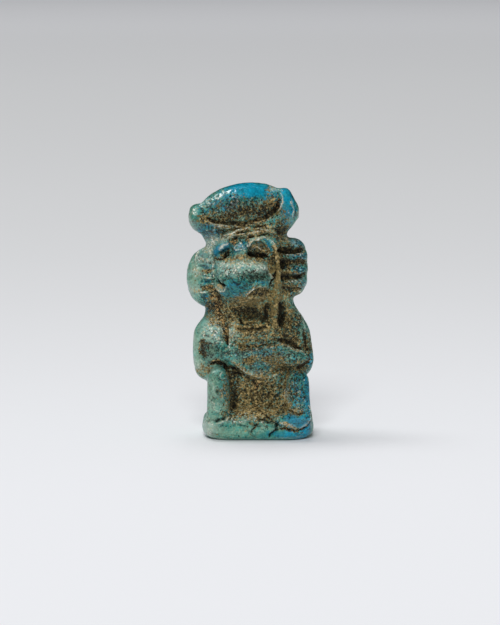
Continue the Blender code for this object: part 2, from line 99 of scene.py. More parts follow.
HEADDRESS_STROKES = {
    "groove_under_disc": Stroke(
        [(207, 217), (211, 220), (218, 222), (228, 223.5), (240, 224), (251, 222.5), (262, 219),
         (271, 213.5), (277, 207), (280, 200)],
        2.4, -0.16, earth=0.9, rust=0.25, dark=0.6),
    "lip_under_disc": Stroke(
        [(207.5, 219.5), (211, 222), (217, 225), (226, 226.6), (235, 226.6), (245, 225.6), (256, 223),
         (265, 220.6), (272, 217)],
        1.7, 0.22, earth=0.4, rust=0.35, pale=0.62),
    "horn_rim": Stroke(
        [(279.4, 193.4), (281.8, 196), (282.8, 200), (282, 204.5), (280, 208.5), (277, 212)],
        0.8, 0.12, pale=1.0),
    "horn_rim_shade": Stroke([(279.5, 203), (278, 207), (275, 210)], 1.2, -0.14, earth=0.6, dark=0.9),
    "flake_edge": Stroke(
        [(291.6, 198), (292.9, 203), (293.7, 209), (293.7, 214), (292.6, 219)],
        0.7, -0.12, pale=0.95, smooth=0.8),
    "upper_furrow": Stroke(
        [(219, 229.6), (226, 229.8), (234, 229.6), (240, 228.4)],
        0.9, -0.2, earth=0.6, dark=0.75),
    "upper_ridge": Stroke(
        [(224, 235.4), (228, 234.8), (232, 234.2), (236, 231.6), (240, 230.4), (245, 229.6),
         (250.5, 228.6)],
        1.2, 0.3, earth=0.25, rust=0.45, pale=0.85),
    "middle_furrow": Stroke(
        [(236, 233.8), (240, 232.6), (245, 231.8), (250, 230.8)],
        0.8, -0.2, earth=0.7, dark=0.7),
    "lower_ridge": Stroke(
        [(227, 240), (229.5, 237.4), (232.5, 235.8), (237, 235.6), (241, 234.8), (244.4, 234.2),
         (246.8, 235.6)],
        1.1, 0.28, earth=0.25, rust=0.55, pale=0.8),
    "lower_furrow": Stroke([(238, 238.4), (242, 238), (245, 238.4)], 1.1, -0.22, earth=0.8, dark=0.8),
    "right_foot_of_crescent": Stroke(
        [(278, 235), (283, 232), (286, 228)],
        1.8, -0.1, earth=0.7, dark=0.6),
    "tip_ring": Stroke([(193, 208), (192, 212), (194.5, 214.5), (198, 215.5)], 0.9, 0.06, pale=0.8),
    "tip_spot": Stroke([(195.5, 209), (197.5, 208.8)], 1.4, 0.03, rust=0.5, pale=0.6),
    "glint_1": Stroke([(221.5, 191), (224.5, 192.5), (222.5, 195.5)], 0.9, 0.07, pale=0.55),
    "glint_2": Stroke([(218.5, 194), (215, 197), (217.5, 199)], 1.0, 0.07, pale=0.6),
    "glint_3": Stroke([(211, 199), (207, 201.6), (210, 203.4)], 1.0, 0.1, pale=0.7),
    "glint_4": Stroke([(204, 203.4), (199.6, 205)], 0.9, 0.08, pale=0.65),
    "bubble_ring": Stroke(
        [(232, 199.5), (235, 198), (237.5, 200), (236.5, 203), (233, 203.4), (231.4, 201)],
        0.6, 0.05, pale=0.35, deep=0.4),
    "upper_ridge_right": Stroke(
        [(254, 229.6), (259, 229.8), (263.5, 230.6), (268, 230.2), (273, 231.4)],
        1.2, 0.26, earth=0.3, rust=0.3, pale=0.8),
    "hook_ridge": Stroke(
        [(246.4, 241.6), (247, 238), (249, 235), (253.5, 233.8), (259, 232.8), (263.5, 232.4)],
        1.0, 0.3, earth=0.25, rust=0.6, pale=0.8),
    "ridge_hole_1": Stroke([(232, 238.6), (237, 237.8)], 1.5, -0.3, earth=0.8, dark=0.95),
    "ridge_hole_2": Stroke(
        [(247.4, 238.6), (250, 236.8), (253.8, 235.8)],
        1.0, -0.25, earth=0.8, dark=0.95),
    "ridge_hole_3": Stroke([(245.6, 242), (246.4, 239.8)], 1.0, -0.28, rust=0.2, dark=0.95),
    "ridge_hole_4": Stroke([(257, 235.6), (262.5, 234.6), (268, 234)], 0.9, -0.25, earth=0.7, dark=0.9),
    "ridge_hole_5": Stroke([(215.5, 231), (219.5, 233)], 1.0, -0.15, dark=0.8),
    "ridge_hole_6": Stroke([(223, 231.4), (229, 232)], 0.9, -0.2, earth=0.6, dark=0.8),
    "ridge_hole_7": Stroke([(253, 227), (259, 226.6), (266, 225.6)], 0.9, -0.16, earth=0.6, dark=0.75),
    "ridge_hole_8": Stroke([(274, 229), (278, 232), (280, 236)], 1.3, -0.18, earth=0.7, dark=0.8),
    "ridge_lump": Stroke([(264, 227.6), (270, 226.6)], 1.2, 0.14, earth=0.4, pale=0.6, rust=0.2),
    "horn_glint": Stroke([(290.6, 202), (291.6, 206)], 0.8, 0.05, pale=0.9),
    "horn_glint_low": Stroke([(288, 211), (289.4, 214)], 0.6, 0.03, pale=0.6),
    "flake_shade": Stroke(
        [(295.4, 206), (296.2, 211), (295.8, 216), (294.2, 220)],
        1.0, -0.1, deep=1.0, blue=0.4, smooth=0.8),
    "disc_glint_line": Stroke(
        [(215.5, 199.5), (219, 196.5), (224, 193.5), (228.5, 191.6)],
        1.1, 0.0, pale=0.72, smooth=0.4),
    "left_tip_glint": Stroke(
        [(193.6, 208.6), (195, 211.6), (197.8, 213.8)],
        0.95, 0.0, pale=0.8, smooth=0.3),
}

FACE_STROKES = {
    "left_brow": Stroke(
        [(217.2, 254.2), (217.8, 250.4), (220.2, 247), (224.4, 244.6), (229.8, 243.2)],
        2.6, 0.26, blue=1.0, deep=0.5, smooth=1.0),
    "left_brow_glint": Stroke(
        [(219.6, 248), (221, 245.8), (224, 243.8), (228.8, 242.4)],
        1.0, 0.05, pale=0.97, smooth=1.0),
    "left_brow_shade": Stroke(
        [(221.6, 254), (222.2, 251.8), (225.2, 250), (230, 248.4)],
        0.9, -0.2, blue=1.0, deep=1.0, smooth=0.8),
    "left_eye": Stroke(
        [(222.6, 256.4), (225.8, 254.8), (228, 251.8)],
        2.0, -0.32, earth=0.8, rust=0.35, dark=0.8),
    "left_lower_lid": Stroke(
        [(216.8, 258.6), (221.6, 259.4), (227.4, 257.6)],
        1.2, -0.16, earth=0.6, deep=0.6, dark=0.7),
    "nose_root": Stroke([(234.5, 247), (239, 247.6), (244, 246.8)], 2.6, 0.12, blue=0.6, pale=0.2),
    "nose_root_glint": Stroke([(234.4, 249), (235.2, 246.4), (237.4, 244.4)], 0.6, 0.08, pale=0.95),
    "right_brow": Stroke(
        [(246.4, 246.2), (249, 243.4), (251.6, 240.2), (255, 238.6), (260, 237.8), (265, 238.4)],
        1.0, 0.26, pale=0.9),
    "right_brow_blue": Stroke(
        [(263.4, 239.6), (266.8, 242), (269.8, 246), (271.4, 251)],
        0.95, 0.08, blue=1.0, deep=0.65, smooth=1.0),
    "right_lid": Stroke(
        [(251, 247.4), (255, 244), (261, 243), (266.4, 246.4), (268.6, 250.6)],
        2.0, 0.2, earth=0.6, pale=0.2, deep=0.4, rust=0.2),
    "right_eye_specks": Stroke(
        [(252.4, 249), (256, 246.8), (259, 248.2), (262.4, 249.8)],
        1.0, 0.08, pale=0.95),
    "right_eye_inner": Stroke(
        [(249.4, 253.6), (252.4, 256.4), (256, 256)],
        1.9, -0.32, earth=0.9, dark=1.0),
    "right_eye_outer": Stroke(
        [(259.4, 253.6), (263, 254.4), (267, 256)],
        1.6, -0.3, earth=0.9, rust=0.2, dark=1.0),
    "eye_divider": Stroke([(256.6, 250.4), (258.2, 253.6), (259, 257)], 0.8, 0.16, earth=0.7, rust=0.6),
    "under_right_eye": Stroke(
        [(252, 259), (259, 259.8), (266, 259.6), (272, 258)],
        1.1, 0.06, earth=0.7, rust=0.35),
    "muzzle_shoulder": Stroke(
        [(215, 263), (225, 264), (238, 265), (250, 264.5), (262, 266.5), (269, 269)],
        3.2, 0.06, pale=0.45),
    "muzzle_hollow": Stroke(
        [(244, 278.5), (251, 276), (259, 274.6), (267, 274)],
        4.4, -0.14, deep=0.85),
    "face_contour": Stroke(
        [(213.9, 259.4), (215, 265), (215.4, 271), (215, 279)],
        1.1, -0.22, deep=0.9, blue=0.45, smooth=0.8),
    "contour_rim": Stroke(
        [(212.2, 258), (212.9, 264), (212.8, 270), (213.2, 277)],
        0.8, 0.08, pale=0.72),
    "mouth_slit": Stroke(
        [(216.6, 279.8), (220.4, 282.8), (224.8, 286.6)],
        1.6, -0.42, earth=0.2, dark=1.0),
    "mouth_hollow": Stroke(
        [(217.8, 283.6), (219.6, 286), (221.6, 287.8)],
        1.3, -0.14, earth=0.9, pale=0.55, smooth=0.4),
    "mouth_lower_edge": Stroke(
        [(216, 285), (217.8, 288.2), (221, 290), (224.4, 289.4), (226, 286.8)],
        0.9, 0.2, pale=0.86, smooth=0.3),
    "muzzle_break": Stroke(
        [(246, 296), (248.5, 292), (251, 289.4), (254.5, 287.4)],
        0.8, 0.14, pale=0.9),
    "under_break": Stroke(
        [(250, 295.5), (255, 292), (262, 290), (269, 291)],
        2.2, -0.18, earth=1.0, rust=0.3, dark=0.35),
    "under_break_specks": Stroke(
        [(254, 295.4), (257, 294.2), (261.6, 294.6), (264, 292.6)],
        1.1, -0.12, earth=0.9, rust=0.4, dark=0.75),
    "lower_lip": Stroke(
        [(243, 301), (247, 299), (252, 297.2), (258, 297.4), (264, 298)],
        0.9, 0.12, earth=0.9, pale=0.45, smooth=0.3),
    "strand": Stroke(
        [(274.4, 244), (276.4, 251), (278, 259), (278.8, 267), (278.4, 276), (276.8, 284), (274, 292),
         (270, 300)],
        2.6, 0.11, earth=0.9, pale=0.1, smooth=0.6),
    "strand_low": Stroke(
        [(271, 301), (272, 309), (273.4, 317), (276, 326)],
        2.6, 0.09, earth=0.9, pale=0.05, smooth=0.4),
    "cheek_slit": Stroke(
        [(275.6, 270.5), (274, 275.5), (271.8, 281.5), (269.8, 287)],
        1.1, -0.26, earth=0.7, rust=0.2, dark=0.95),
    # painted highlight along the cheek's edge
    "cheek_highlight": Stroke([(270.8, 273), (271.6, 275.6), (271.2, 279)], 0.8, 0.1, pale=1.0),
    "cheek_furrow": Stroke([(273.5, 252), (275, 261), (274.6, 268)], 0.9, -0.1, earth=0.7, dark=0.4),
    "nose_bridge": Stroke([(240, 247), (241, 254), (242, 262)], 5.5, 0.2, pale=0.2),
    "muzzle_top_fill": Stroke(
        [(216, 259), (226, 259.2), (236, 258.4), (247, 259), (256, 260), (263, 261)],
        3.0, 0.2, earth=0.35),
    "muzzle_right_round": Stroke(
        [(264, 261.5), (268.6, 263.6), (270.6, 268), (270.4, 276)],
        3.4, -0.26),
    "cheek_fill": Stroke([(273, 262), (273.6, 270), (272.5, 279)], 1.8, 0.14, earth=0.7, smooth=0.5),
    "left_eye_crust": Stroke([(222.4, 250.4), (224.6, 252.2), (226.2, 254.4)], 0.9, 0.08, rust=1.0),
    "nose_root_glint_low": Stroke([(236.8, 249.6), (240, 249.4)], 0.6, 0.06, pale=0.8),
    "nose_root_glint_top": Stroke([(239.8, 242.4), (241.4, 244.8)], 0.6, 0.06, pale=0.95),
    "nose_root_blue": Stroke(
        [(243.2, 241.4), (243.2, 246.2)],
        0.9, -0.08, blue=1.0, deep=0.6, smooth=0.9),
    "nose_root_blue_low": Stroke(
        [(234.4, 249.6), (236, 251.8), (240.4, 251)],
        0.9, -0.1, blue=1.0, deep=0.6, smooth=0.8),
    "brow_crust": Stroke([(231.6, 241.8), (235, 243), (237.2, 240.6)], 1.3, 0.14, rust=1.0, dark=0.2),
    "brow_hook": Stroke([(248.6, 239), (249.2, 241.6), (247.4, 243.8)], 0.8, 0.14, rust=0.9, pale=0.3),
    "right_brow_outer": Stroke(
        [(266.4, 237.6), (270.6, 240.2), (274.2, 245.6), (276, 253), (277, 262)],
        0.9, 0.14, pale=0.65, rust=0.3),
    "right_eye_notch": Stroke([(260, 257.8), (263.6, 258.6)], 1.2, -0.2, earth=0.7, dark=1.0),
    "right_eye_rust": Stroke([(266.6, 252.4), (268.4, 255)], 0.8, 0.06, rust=0.9),
    # painted highlight along the cheek's lower edge
    "cheek_highlight_low": Stroke([(270.2, 281), (269.8, 284.6), (269.2, 288)], 0.7, 0.1, pale=0.9),
    "muzzle_white_dot": Stroke([(235.6, 270.4), (236.6, 270.4)], 0.8, 0.05, pale=1.0),
    "muzzle_rust_dot": Stroke([(228.2, 269.4), (228.6, 270.6)], 0.8, 0.03, rust=1.0),
    "muzzle_break_right": Stroke(
        [(256, 286.8), (262, 287.4), (267, 287)],
        0.8, 0.12, pale=0.55, rust=0.2),
    "left_bulb": Stroke([(215.8, 250.6), (216.6, 253.4)], 2.0, 0.1, blue=1.0, deep=0.7, smooth=1.0),
    "right_eye_floor": Stroke(
        [(249.6, 252.6), (253.6, 255), (258.6, 255.4), (264, 254.8), (268.4, 256.6)],
        2.0, -0.1, earth=0.9, dark=0.85),
}

MANE_STROKES = {
    "right_furrow_1": Stroke(
        [(278.5, 249.4), (284, 250.4), (290, 250), (297, 250.4), (303, 250), (308, 249.5)],
        3.1, -0.28, earth=0.95, rust=0.15, dark=0.68),
    "right_furrow_2": Stroke(
        [(281.5, 264.5), (287, 262.4), (293, 262.6), (299, 261.6), (305, 262), (309, 262)],
        2.7, -0.24, earth=0.95, rust=0.2, dark=0.55),
    "right_furrow_2_end": Stroke(
        [(281.6, 260), (283, 264), (283.4, 269)],
        2.2, -0.2, earth=0.9, dark=0.8),
    "right_furrow_3": Stroke(
        [(281.5, 278.5), (288, 277), (294, 277.6), (300, 276), (305, 274.6), (309, 274)],
        2.3, -0.26, earth=0.95, rust=0.15, dark=0.6),
    "right_furrow_3_end": Stroke([(282, 274.5), (283, 281)], 1.8, -0.15, earth=0.9, dark=0.7),
    "right_furrow_3_mark": Stroke([(299.4, 273.5), (300, 278)], 0.9, -0.1, dark=0.9, earth=0.5),
    "right_furrow_4": Stroke(
        [(282.5, 287.4), (288, 289.6), (293, 289), (300, 289.6)],
        2.0, -0.18, earth=0.95, dark=0.45),
    "right_ridge_1": Stroke(
        [(281, 254), (291, 254.6), (303, 254)],
        1.0, 0.14, earth=0.4, rust=0.3, pale=0.5),
    "right_ridge_2": Stroke([(285, 273), (292, 272), (300, 272.6)], 1.3, 0.14, earth=0.6, pale=0.25),
    "right_ridge_3": Stroke([(287, 281), (294, 282), (302, 280)], 1.6, 0.13, pale=0.3),
    "right_rim": Stroke([(304.6, 284), (303, 290), (298, 294.5)], 1.0, 0.08, pale=0.7),
    "left_hollow_1": Stroke(
        [(200, 251.6), (203.6, 254.6), (208, 257)],
        2.6, -0.22, deep=0.45, blue=0.35, smooth=0.4),
    "left_hollow_2": Stroke(
        [(200.5, 265.6), (204.5, 266), (208.5, 267)],
        2.2, -0.2, deep=0.9, blue=0.5, smooth=0.4),
    "left_hollow_3": Stroke(
        [(203, 280), (206, 281), (209.6, 281.6)],
        2.6, -0.18, deep=0.85, blue=0.5, smooth=0.4),
    "left_hollow_4": Stroke([(201, 295), (204.5, 297.5), (208, 300)], 2.4, -0.2, deep=0.9, blue=0.6),
    "left_scar": Stroke(
        [(202.5, 270.4), (206.5, 271.4), (211.4, 269.6)],
        2.2, -0.16, earth=0.85, rust=0.3, dark=0.2),
    "left_scar_end": Stroke(
        [(212, 286.4), (207, 287.4), (201.6, 289)],
        2.4, -0.14, earth=0.85, rust=0.55, dark=0.3),
    # painted highlight along the left lock's lower edge
    "left_rim_highlight": Stroke([(200, 291.6), (203.5, 292.6), (207.6, 291.6)], 0.9, 0.16, pale=1.0, smooth=0.6),
    "left_outer_rim": Stroke([(199.6, 250.8), (197.2, 256), (196, 261)], 0.7, 0.1, pale=0.95),
    "left_pale_bar": Stroke([(195.5, 275.8), (198.6, 277.6)], 0.8, 0.1, pale=1.0),
    "left_pale_bar_2": Stroke([(204.6, 277.2), (210, 278)], 0.8, 0.1, pale=1.0),
    "left_pale_soft": Stroke(
        [(192.4, 271), (196.6, 270.4), (201, 272.6)],
        2.6, 0.08, pale=0.45, earth=0.2),
    "left_tan_soft": Stroke([(191.6, 288), (195, 290.6), (199, 291.4)], 2.4, 0.04, pale=0.3, earth=0.5),
    "left_lock_furrow": Stroke(
        [(200, 260.6), (205, 262), (210.6, 262.4)],
        1.4, -0.16, deep=0.5, dark=0.25),
    "temple_pale": Stroke([(203, 243), (207, 247), (210, 253)], 1.8, 0.05, pale=0.45),
}

BODY_STROKES = {
    "throat_left": Stroke([(231, 308), (236, 311), (240, 315)], 2.8, -0.12, earth=1.0, dark=0.4),
    "throat": Stroke(
        [(243, 312), (250, 313.6), (258, 313)],
        5.0, -0.06, earth=1.0, dark=0.32, smooth=0.3),
    "throat_trench": Stroke(
        [(268.4, 304), (266.4, 310), (264.8, 316), (262.5, 323)],
        2.4, -0.18, earth=0.9, rust=0.2, dark=0.7),
    "throat_specks": Stroke([(240, 318), (242, 323)], 1.6, -0.1, earth=0.9, rust=0.2, dark=0.8),
    "neck_trench": Stroke(
        [(281.6, 303), (281.8, 309), (282.4, 316), (281.2, 325)],
        2.9, -0.26, earth=0.9, dark=0.85),
    "collar_groove": Stroke(
        [(239, 327), (246, 328.8), (256, 329), (266, 327.6)],
        1.5, -0.15, earth=0.9, rust=0.35, dark=0.62),
    "collar_ridge": Stroke(
        [(238, 331.4), (247, 332), (258, 332), (268, 330.6)],
        1.2, 0.14, earth=0.7, pale=0.3, rust=0.3),
    "crust_track": Stroke(
        [(212, 291), (215, 297), (217.6, 304), (219, 312), (222, 319)],
        4.4, 0.06, earth=0.95, rust=0.75, dark=0.2, pale=0.1),
    "crust_track_low": Stroke(
        [(222, 320), (224.5, 327), (226.6, 335), (227, 343)],
        2.8, -0.06, earth=0.95, rust=0.75, dark=0.25, pale=0.1),
    "lappet_point": Stroke([(226.8, 338), (227, 345)], 1.0, -0.16, earth=0.8, dark=0.9),
    "lappet_edge": Stroke([(230, 328), (229.6, 337), (229, 345), (227, 348)], 0.9, 0.1, pale=0.6),
    "chest_band": Stroke(
        [(239, 344.5), (246, 346.4), (256, 345.6), (265, 345), (273, 344)],
        1.2, -0.14, earth=0.9, rust=0.2, dark=0.55),
    "chest_band_rim": Stroke(
        [(238, 349.4), (248, 349.6), (260, 348.6), (270, 347), (278, 344.6)],
        0.9, 0.13, pale=0.35, earth=0.5, rust=0.5),
    "arm_trench": Stroke(
        [(278.6, 340.6), (284.5, 341.4), (290, 343.8), (295, 346.4), (302, 350)],
        1.8, -0.22, earth=0.85, rust=0.3, dark=0.62),
    "arm_ridge": Stroke(
        [(278, 343), (285, 344.5), (290.6, 347.8), (297, 350.6), (304, 352.4)],
        1.1, 0.18, earth=0.45, rust=0.3, pale=0.65),
    "side_groove": Stroke(
        [(304.6, 330), (305, 337), (306.5, 344), (308, 351)],
        1.6, -0.2, earth=0.9, rust=0.4, dark=0.75),
    "side_groove_line": Stroke([(309, 334), (311, 341), (312, 349)], 0.8, -0.06, earth=0.4, pale=0.5),
    "side_notch": Stroke(
        [(297, 369), (302, 366), (307, 363), (312, 359)],
        1.8, -0.2, earth=0.8, rust=0.6, dark=0.7),
    "oval_left": Stroke(
        [(244, 361.5), (248.5, 360.6), (254, 358)],
        3.0, -0.14, earth=1.0, rust=0.15, dark=0.1, smooth=0.6),
    "oval_left_rim": Stroke(
        [(240.5, 359.5), (244, 364), (248, 364.8), (252, 362.6)],
        0.7, 0.06, rust=0.4, earth=0.5),
    "oval_right": Stroke(
        [(261.5, 358.8), (266, 359.4), (270, 360.2)],
        2.4, -0.12, earth=1.0, rust=0.2, dark=0.1, smooth=0.6),
    "arm_scar": Stroke(
        [(203, 340), (201.4, 346), (202.6, 352), (204.6, 357)],
        3.0, -0.1, earth=0.85, dark=0.4, deep=0.3),
    "arm_scar_rust": Stroke([(199, 343), (198.2, 348), (199.6, 352)], 0.8, -0.03, rust=0.95),
    "arm_scar_inner": Stroke([(206, 343), (209, 345.6), (208, 350)], 2.2, -0.04, deep=0.7, earth=0.35),
    # painted highlights along the right shoulder's outline
    "shoulder_highlight": Stroke(
        [(297, 309), (301.4, 317), (304.6, 326), (306.2, 334)],
        0.8, 0.07, pale=0.6, smooth=0.5),
    "shoulder_highlight_inner": Stroke(
        [(292.6, 306), (296.6, 313), (299.6, 322)],
        0.7, 0.05, pale=0.45, smooth=0.5),
    "belly_edge": Stroke(
        [(231, 361.4), (238, 366.2), (247, 372), (257, 376.4), (268, 377.4), (277, 374.4),
         (284, 368.8)],
        1.5, 0.08, pale=0.58, earth=0.2, smooth=0.4),
}

LEG_STROKES = {
    "knee_furrow": Stroke(
        [(211, 364.6), (214.6, 363), (219.6, 362.8), (224.4, 365), (227.4, 370)],
        1.7, -0.26, earth=0.95, rust=0.35, dark=0.75),
    "knee_crust": Stroke(
        [(211, 361.6), (217, 359.8), (223, 361.8)],
        1.5, 0.05, earth=0.8, rust=0.6, dark=0.2),
    "arm_hem": Stroke(
        [(228, 358.5), (234, 362), (240, 367), (246, 373), (255, 376), (264, 375.6), (270, 371),
         (276, 364)],
        1.2, 0.12, earth=0.5, pale=0.3, smooth=0.4),
    "below_hem": Stroke(
        [(229, 366), (234, 370), (240, 374.6), (248, 378.5), (258, 380), (268, 378)],
        1.6, -0.08, earth=1.0, dark=0.15),
    "hem_ripple_1": Stroke(
        [(230.5, 368.5), (234, 369.5), (238, 371.6)],
        0.7, -0.1, earth=1.0, dark=0.8),
    "hem_ripple_2": Stroke([(232, 372.5), (236, 373), (241, 374.6)], 0.7, -0.1, earth=1.0, dark=0.8),
    "left_shin_edge": Stroke(
        [(230, 372), (231.6, 382), (231.6, 396), (231.4, 410)],
        1.8, -0.12, earth=0.95, dark=0.2),
    "left_lap_hollow": Stroke(
        [(235, 391), (236, 396), (235, 403), (234, 408)],
        2.6, -0.12, earth=1.0, dark=0.55),
    "right_shin_edge": Stroke(
        [(287.6, 368), (287.4, 375), (285.4, 384), (284, 396), (283.5, 408)],
        1.6, -0.05, earth=0.7, rust=0.3, pale=0.25),
    "knee_crack": Stroke(
        [(220.5, 372), (219.2, 376), (220, 379.4), (224, 380.6), (229, 380.4)],
        0.8, -0.2, rust=0.9, dark=0.5),
    "knee_crack_rim": Stroke(
        [(222.4, 372), (221, 375.6), (222, 378), (226, 378.8)],
        0.6, 0.06, pale=0.8),
    "shin_pit": Stroke([(215.4, 391.4), (217.4, 391)], 1.6, -0.2, dark=0.85, deep=0.5),
    "shin_pit_low": Stroke([(214.6, 397.5), (215.8, 398.5)], 1.4, -0.06, dark=0.3, deep=0.5),
    "shin_pit_right": Stroke([(224.6, 404.6), (226, 406.4)], 0.9, -0.1, dark=0.7, rust=0.3),
    "ankle_slit": Stroke([(216, 421.2), (218.6, 419.8), (221, 419.6)], 1.6, -0.36, rust=0.2, dark=1.0),
    "ankle_slit_end": Stroke([(222.8, 419.4), (226, 418.2)], 1.3, -0.34, rust=0.2, dark=1.0),
    "ankle_rim": Stroke(
        [(216.6, 423), (221, 422.4), (226, 420.8), (228.6, 417.8)],
        0.8, 0.1, pale=0.95),
    "lap_specks_1": Stroke(
        [(253, 382), (257, 386), (256, 390)],
        2.2, -0.08, earth=1.0, rust=0.45, dark=0.55),
    "lap_ripple_1": Stroke([(262, 384), (269, 386.5), (276, 386)], 1.0, -0.1, earth=1.0, dark=0.6),
    "lap_ripple_2": Stroke([(268, 392), (274, 396), (279, 396.5)], 1.4, -0.1, earth=1.0, dark=0.55),
    "lap_ripple_3": Stroke([(245, 378), (252, 380.6), (260, 381)], 0.9, -0.08, earth=1.0, dark=0.5),
    "lap_ripple_4": Stroke([(256, 406), (264, 409), (273, 404)], 1.0, -0.08, earth=1.0, dark=0.4),
    "right_foot": Stroke([(281, 421), (287, 417), (295, 416.5), (303, 417.5), (308, 418)], 4.5, 0.14),
    "foot_top_crease": Stroke(
        [(289, 410.6), (294, 412.6), (299, 414.2), (304, 412)],
        1.1, -0.16, earth=0.8, rust=0.4, dark=0.5),
    "foot_top_rim": Stroke([(290, 409), (296, 411), (302, 411)], 0.7, 0.08, pale=0.7, earth=0.3),
    "foot_shade": Stroke([(287, 415.5), (292, 416.4), (297, 418)], 1.6, -0.06, deep=0.75, blue=0.5),
    # painted highlight along the right foot's outer edge
    "foot_rim_highlight": Stroke(
        [(299, 429), (304, 425.8), (307.6, 420.5), (309.6, 412), (309, 403)],
        0.8, 0.08, pale=0.7, blue=0.5),
    "toe_crust": Stroke(
        [(281, 423.6), (286, 424), (291, 426), (296, 428.4)],
        1.8, 0.07, earth=0.8, rust=0.5, pale=0.6),
    "toe_crevice": Stroke(
        [(280.5, 427.6), (285, 428.6), (290, 430.6), (296, 431.6)],
        1.5, -0.18, earth=0.9, rust=0.7, dark=0.7),
    "toe_crevice_end": Stroke(
        [(297, 432), (302, 430), (306.5, 426.4), (310, 421), (312, 415)],
        1.0, -0.2, earth=0.8, rust=0.7, dark=0.55),
    "shin_crackle_1": Stroke([(212, 383), (214, 386), (213, 390), (215, 394)], 0.55, 0.04, pale=0.7),
    "shin_crackle_2": Stroke(
        [(222.6, 388), (221, 392), (222.4, 396), (220.8, 401)],
        0.5, 0.04, pale=0.6),
    "shin_crackle_3": Stroke(
        [(211.6, 401), (214.6, 404), (213.4, 408), (217, 411)],
        0.55, 0.04, pale=0.75),
    "shin_crackle_4": Stroke([(223, 408), (219.6, 410.4), (220.6, 414)], 0.5, 0.04, pale=0.7),
    "right_leg_edge": Stroke(
        [(306.6, 378), (307, 386), (307.4, 396), (308, 405)],
        1.7, 0.03, blue=1.0, deep=0.35, smooth=0.5),
}

BASE_STROKES = {
    "wide_crack": Stroke(
        [(277.4, 421.5), (276.6, 426), (276, 430), (272.6, 433), (269, 437.4)],
        1.8, -0.4, rust=0.4, dark=1.0),
    "wide_crack_rim": Stroke([(274.8, 427), (273, 430.6), (269, 433.4)], 0.6, 0.08, pale=0.8),
    "wide_crack_bar": Stroke(
        [(260, 419.2), (264.5, 420), (268.6, 422.4), (271, 421.4), (277, 421.6)],
        1.1, -0.25, earth=0.6, rust=0.4, dark=0.8),
    "middle_crack": Stroke(
        [(257, 423.6), (255, 427), (252.4, 431), (251, 436)],
        1.25, -0.26, rust=0.8, dark=0.85),
    "middle_crack_arm": Stroke(
        [(252.6, 425.4), (256, 424.4), (260, 426.4)],
        1.0, -0.15, rust=0.9, dark=0.3),
    "left_crack": Stroke(
        [(238.6, 424), (243, 426), (248.5, 427)],
        0.9, -0.18, rust=0.5, dark=0.8, pale=0.2),
    "rust_dot": Stroke([(244.5, 431.6), (247.5, 431.2)], 0.9, -0.04, rust=1.0),
    "low_pit": Stroke([(237.8, 435.8), (239.2, 437.2)], 1.1, -0.15, dark=0.95),
    "left_scratch": Stroke(
        [(212.6, 434.8), (216, 435.2), (219.6, 436.8)],
        0.8, -0.1, rust=0.9, dark=0.2),
    "ground_line": Stroke(
        [(229, 416), (233, 420), (239, 422.4), (245, 421.6), (250, 417.5), (254, 416.4), (259, 418.5)],
        1.1, 0.08, pale=0.5),
    "ground_specks": Stroke([(264, 414.6), (268, 417), (272, 419)], 1.0, -0.1, earth=0.8, dark=0.7),
    "right_corner_rust": Stroke(
        [(294, 434), (300, 435), (306, 431)],
        1.2, -0.05, rust=0.25, dark=0.2, deep=0.3),
    # painted light: lightens the shade under the base's rounded lower edge
    "bottom_edge_painted_light": Stroke(
        [(205, 437.6), (216, 439), (235, 439.6), (262, 439.6), (286, 438.2), (303, 436)],
        1.2, 0.0, pale=0.4, smooth=0.5),
}

